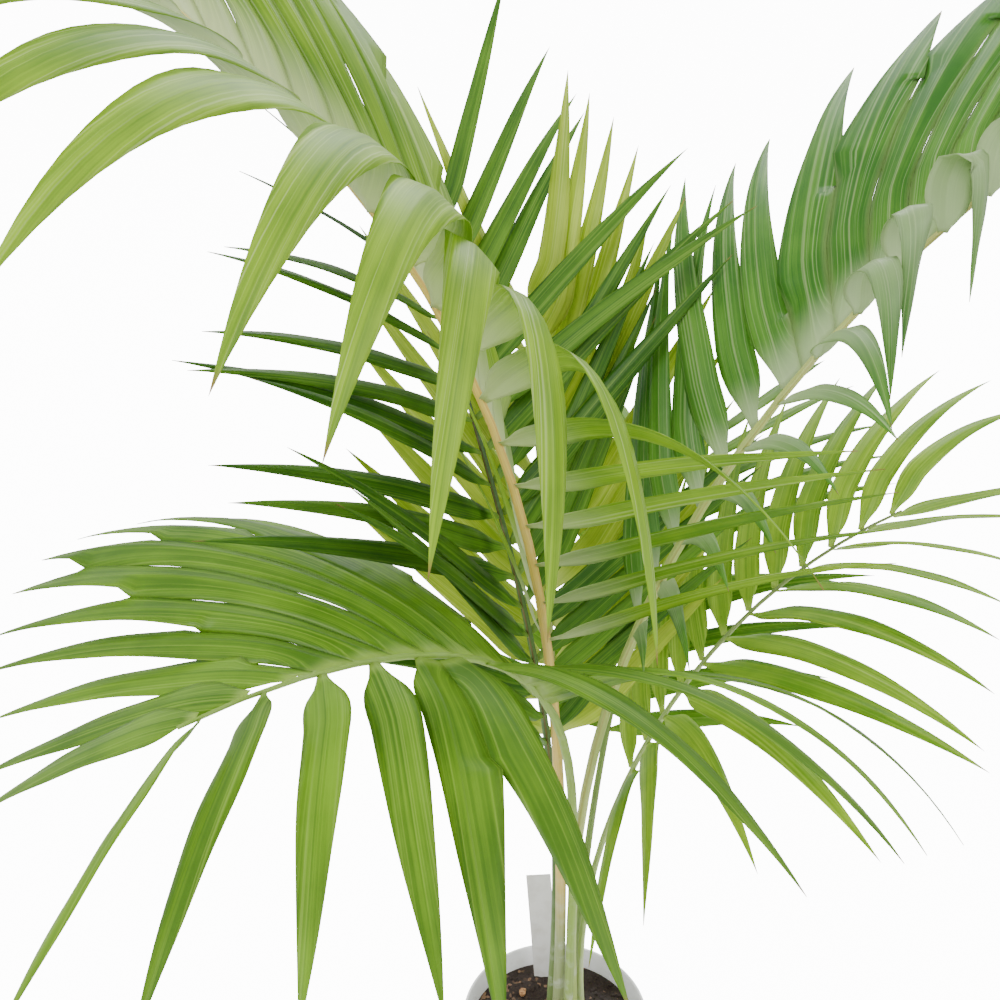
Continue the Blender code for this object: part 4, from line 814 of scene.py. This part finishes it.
def leaf_material(name, dark, light, pale, rib, through, pale_share):
    """Living palm leaf: a waxy skin over green flesh, so a soft gloss with light coming through."""
    material = new_material(name)
    uv = add_node(material, "ShaderNodeUVMap", {"uv_map": "blade"})
    share = add_node(material, "ShaderNodeAttribute", {"attribute_name": "share"})
    tone = add_node(material, "ShaderNodeAttribute", {"attribute_name": "tone"})
    ridge = add_node(material, "ShaderNodeAttribute", {"attribute_name": "ridge"})
    place = add_node(material, "ShaderNodeTexCoord")
    # Broad patches of lighter and darker green, a hand's breadth across.
    patches = add_node(material, "ShaderNodeTexNoise", Vector=place.outputs["Object"],
                       Scale=16.0, Detail=3.0)
    # Veins run along the blade: the pattern changes quickly across it and very slowly along it.
    vein_place = add_node(material, "ShaderNodeMapping", Vector=uv.outputs[0],
                          Scale=(1.0 / VEIN_SPACING, 2.0, 1.0))
    vein_row = add_node(material, "ShaderNodeCombineXYZ", Z=tone.outputs["Fac"])
    vein_seed = add_node(material, "ShaderNodeVectorMath", {"operation": "MULTIPLY_ADD"},
                         i0=vein_row.outputs[0], i1=(40.0, 40.0, 40.0), i2=vein_place.outputs[0])
    veins = add_node(material, "ShaderNodeTexNoise", Vector=vein_seed.outputs[0], Scale=1.0, Detail=2.0)
    streak_place = add_node(material, "ShaderNodeMapping", Vector=uv.outputs[0], Scale=(190.0, 9.0, 1.0))
    streaks = add_node(material, "ShaderNodeTexNoise", Vector=streak_place.outputs[0], Scale=1.0, Detail=3.0)
    mix = add_node(material, "ShaderNodeMath", {"operation": "MULTIPLY_ADD"},
                   i0=patches.outputs["Fac"], i1=0.8, i2=-0.2)
    mix = add_node(material, "ShaderNodeMath", {"operation": "MULTIPLY_ADD"},
                   i0=veins.outputs["Fac"], i1=1.0, i2=mix.outputs[0])
    mix = add_node(material, "ShaderNodeMath", {"operation": "MULTIPLY_ADD"},
                   i0=streaks.outputs["Fac"], i1=0.8, i2=mix.outputs[0])
    mix = add_node(material, "ShaderNodeMath", {"operation": "MULTIPLY_ADD"},
                   i0=tone.outputs["Fac"], i1=0.35, i2=mix.outputs[0])
    ramp = add_node(material, "ShaderNodeMapRange", Value=mix.outputs[0], i1=0.98, i2=1.62)
    green = add_node(material, "ShaderNodeMix", {"data_type": "RGBA"}, Factor=ramp.outputs[0],
                     i6=linear(dark), i7=linear(light))
    # Single veins stand out as fine pale lines.
    fine = add_node(material, "ShaderNodeMapRange", Value=veins.outputs["Fac"],
                    i1=0.56, i2=0.66, i3=0.0, i4=0.32)
    veined = add_node(material, "ShaderNodeMix", {"data_type": "RGBA"}, Factor=fine.outputs[0],
                      i6=green.outputs["Result"], i7=linear(pale))
    # The middle rib and the seams of a pleated blade have a tone of their own.
    lined = add_node(material, "ShaderNodeMix", {"data_type": "RGBA"}, Factor=ridge.outputs["Fac"],
                     i6=veined.outputs["Result"], i7=linear(rib))
    base = add_node(material, "ShaderNodeMapRange", {"interpolation_type": "SMOOTHSTEP"},
                    Value=share.outputs["Fac"], i1=0.0, i2=pale_share, i3=0.9, i4=0.0)
    waxed = add_node(material, "ShaderNodeMix", {"data_type": "RGBA"}, Factor=base.outputs[0],
                     i6=lined.outputs["Result"], i7=linear(pale))
    tip = add_node(material, "ShaderNodeMapRange", Value=share.outputs["Fac"], i1=0.965, i2=0.99)
    coloured = add_node(material, "ShaderNodeMix", {"data_type": "RGBA"}, Factor=tip.outputs[0],
                        i6=waxed.outputs["Result"], i7=linear("#A08048"))
    height = add_node(material, "ShaderNodeBump", Strength=0.3, Distance=0.0004, Height=veins.outputs["Fac"])
    skin = add_node(material, "ShaderNodeBsdfPrincipled", Base_Color=coloured.outputs["Result"],
                    Roughness=0.40, Normal=height.outputs[0])
    skin.inputs["IOR"].default_value = 1.42
    lit = add_node(material, "ShaderNodeMix", {"data_type": "RGBA"}, Factor=0.35,
                   i6=coloured.outputs["Result"], i7=linear(through))
    glow = add_node(material, "ShaderNodeBsdfTranslucent", Color=lit.outputs["Result"],
                    Normal=height.outputs[0])
    both = add_node(material, "ShaderNodeMixShader", Fac=0.40, i1=skin.outputs[0], i2=glow.outputs[0])
    add_node(material, "ShaderNodeOutputMaterial", Surface=both.outputs[0])
    return material


def blade_template():
    """One flat leaflet blade, two units wide and one long, with close columns at its rib."""
    bpy.ops.mesh.primitive_grid_add(x_subdivisions=BLADE_COLUMNS, y_subdivisions=BLADE_ROWS, size=2)
    blade = bpy.context.object
    grid = np.array([vert.co for vert in blade.data.vertices])
    faces = [tuple(face.vertices) for face in blade.data.polygons]
    bpy.data.objects.remove(blade)
    across = np.round(grid[:, 0], 5)
    return np.sign(across) * np.abs(across) ** 1.7, np.round((grid[:, 1] + 1) / 2, 5), faces


across_grid, along_grid, blade_faces = blade_template()
row_shares, row_of = np.unique(along_grid, return_inverse=True)


def smooth_step(value):
    value = np.clip(value, 0.0, 1.0)
    return value * value * (3 - 2 * value)


def side_piece(name, frond_name, hand, material):
    """All the leaflets of one side of a frond, as one mesh with a thin wall."""
    frond, line = FRONDS[frond_name], lines[frond_name]
    side = frond["right"] if hand > 0 else frond["left"]
    chance = random.Random(f"{frond_name}{hand}")
    leaflets = []
    for place, lean, shorter in settled_sides[frond_name, hand]:
        centre, across, heading, width = leaflet_shape(frond, line, hand, place, lean, shorter, row_shares)
        face = unit(np.cross(heading, across)) * hand
        foot = at_share(line, frond["blade_from"] + (LAST_LEAFLET_AT - frond["blade_from"]) * place)[0]
        # The blade's foot runs in to the rib it grows from, and narrows there.
        centre = centre + (foot - centre[0]) * 0.5 * (1 - smooth_step(row_shares / 0.06))[:, None]
        narrow = 0.45 + 0.55 * smooth_step(row_shares / 0.12)
        reach = knots(place, side["length"]) * shorter
        half = width * narrow / 2
        # A blade sways a little in its own plane and its margins ripple.
        wave = 0.06 * half * np.sin(row_shares * chance.uniform(5, 9) + chance.uniform(0, 6))
        centre = centre + across * wave[:, None]
        leaflets.append(dict(place=place, centre=centre, across=across, face=face, half=half, reach=reach))
    joins = [knots((low["place"] + high["place"]) / 2, side["joined"]) * chance.uniform(0.88, 1.06)
             for low, high in zip(leaflets, leaflets[1:])]
    edges = blade_edges([tuple(leaflet[key] for key in ("centre", "across", "face", "half"))
                         for leaflet in leaflets], joins, row_shares)
    points, faces, maps, shares, tones, ridges = [], [], [], [], [], []
    for index, leaflet in enumerate(leaflets):
        joined = ((0.0, *joins)[index], (*joins, 0.0)[index])
        x = across_grid
        row = row_of
        toward = np.where((x < 0)[:, None], edges[index][0][row], edges[index][1][row])
        centre = leaflet["centre"][row]
        point = centre + (toward - centre) * np.abs(x)[:, None]
        half = leaflet["half"][row]
        rise = KEEL_DEPTH * half * (1 - np.abs(x) ** 1.2)
        rise = rise + 0.05 * half * x ** 2 * np.sin(row_shares[row] * 17 + chance.uniform(0, 6) + x)
        point = point + leaflet["face"][row] * rise[:, None]
        first = sum(len(block) for block in points)
        points.append(point)
        order = 1 if hand > 0 else -1
        faces += [tuple(first + v for v in face[::order]) for face in blade_faces]
        maps.append(np.stack([x * half, row_shares[row] * leaflet["reach"]], 1))
        shares.append(row_shares[row])
        tones.append(np.full(len(point), chance.random()))
        seams = sum((np.abs(x - end) < 0.01) * (row_shares[row] < joined[k])
                    for k, end in enumerate((-1, 1)))
        ridges.append((0.8 * (np.abs(x) < 0.01) + 0.6 * seams) * (1 - 0.6 * row_shares[row]))
    mesh = bpy.data.meshes.new(name)
    mesh.from_pydata([tuple(point) for point in np.vstack(points)], [], faces)
    corners = np.zeros(len(mesh.loops), int)
    mesh.loops.foreach_get("vertex_index", corners)
    mesh.uv_layers.new(name="blade").data.foreach_set("uv", np.vstack(maps)[corners].ravel())
    for label, values in (("share", shares), ("tone", tones), ("ridge", ridges)):
        mesh.attributes.new(label, "FLOAT", "POINT").data.foreach_set("value", np.concatenate(values))
    mesh.shade_smooth()
    piece = bpy.data.objects.new(name, mesh)
    bpy.context.scene.collection.objects.link(piece)
    wall = piece.modifiers.new("wall", "SOLIDIFY")
    wall.thickness = BLADE_THICKNESS
    wall.offset = 0.0
    bpy.context.view_layer.objects.active = piece
    bpy.ops.object.modifier_apply(modifier=wall.name)
    piece.data.materials.append(material)
    return piece


for frond_name, colours in LEAF_COLOURS.items():
    living_leaf = leaf_material(f"{frond_name}_living_leaf", *colours, WAXED_SHARE.get(frond_name, 0.05))
    for hand, word in ((-1, "left"), (1, "right")):
        if (frond_name, word) == ("right_high", "right"):
            living_leaf = leaf_material("curled_silvery_leaf", *colours, CURLED_SHARE)
        piece = side_piece(f"{frond_name}_blades_{word}", frond_name, hand, living_leaf)
        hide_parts(f"{frond_name}_leaflets_{word}")
        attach(piece, "root")
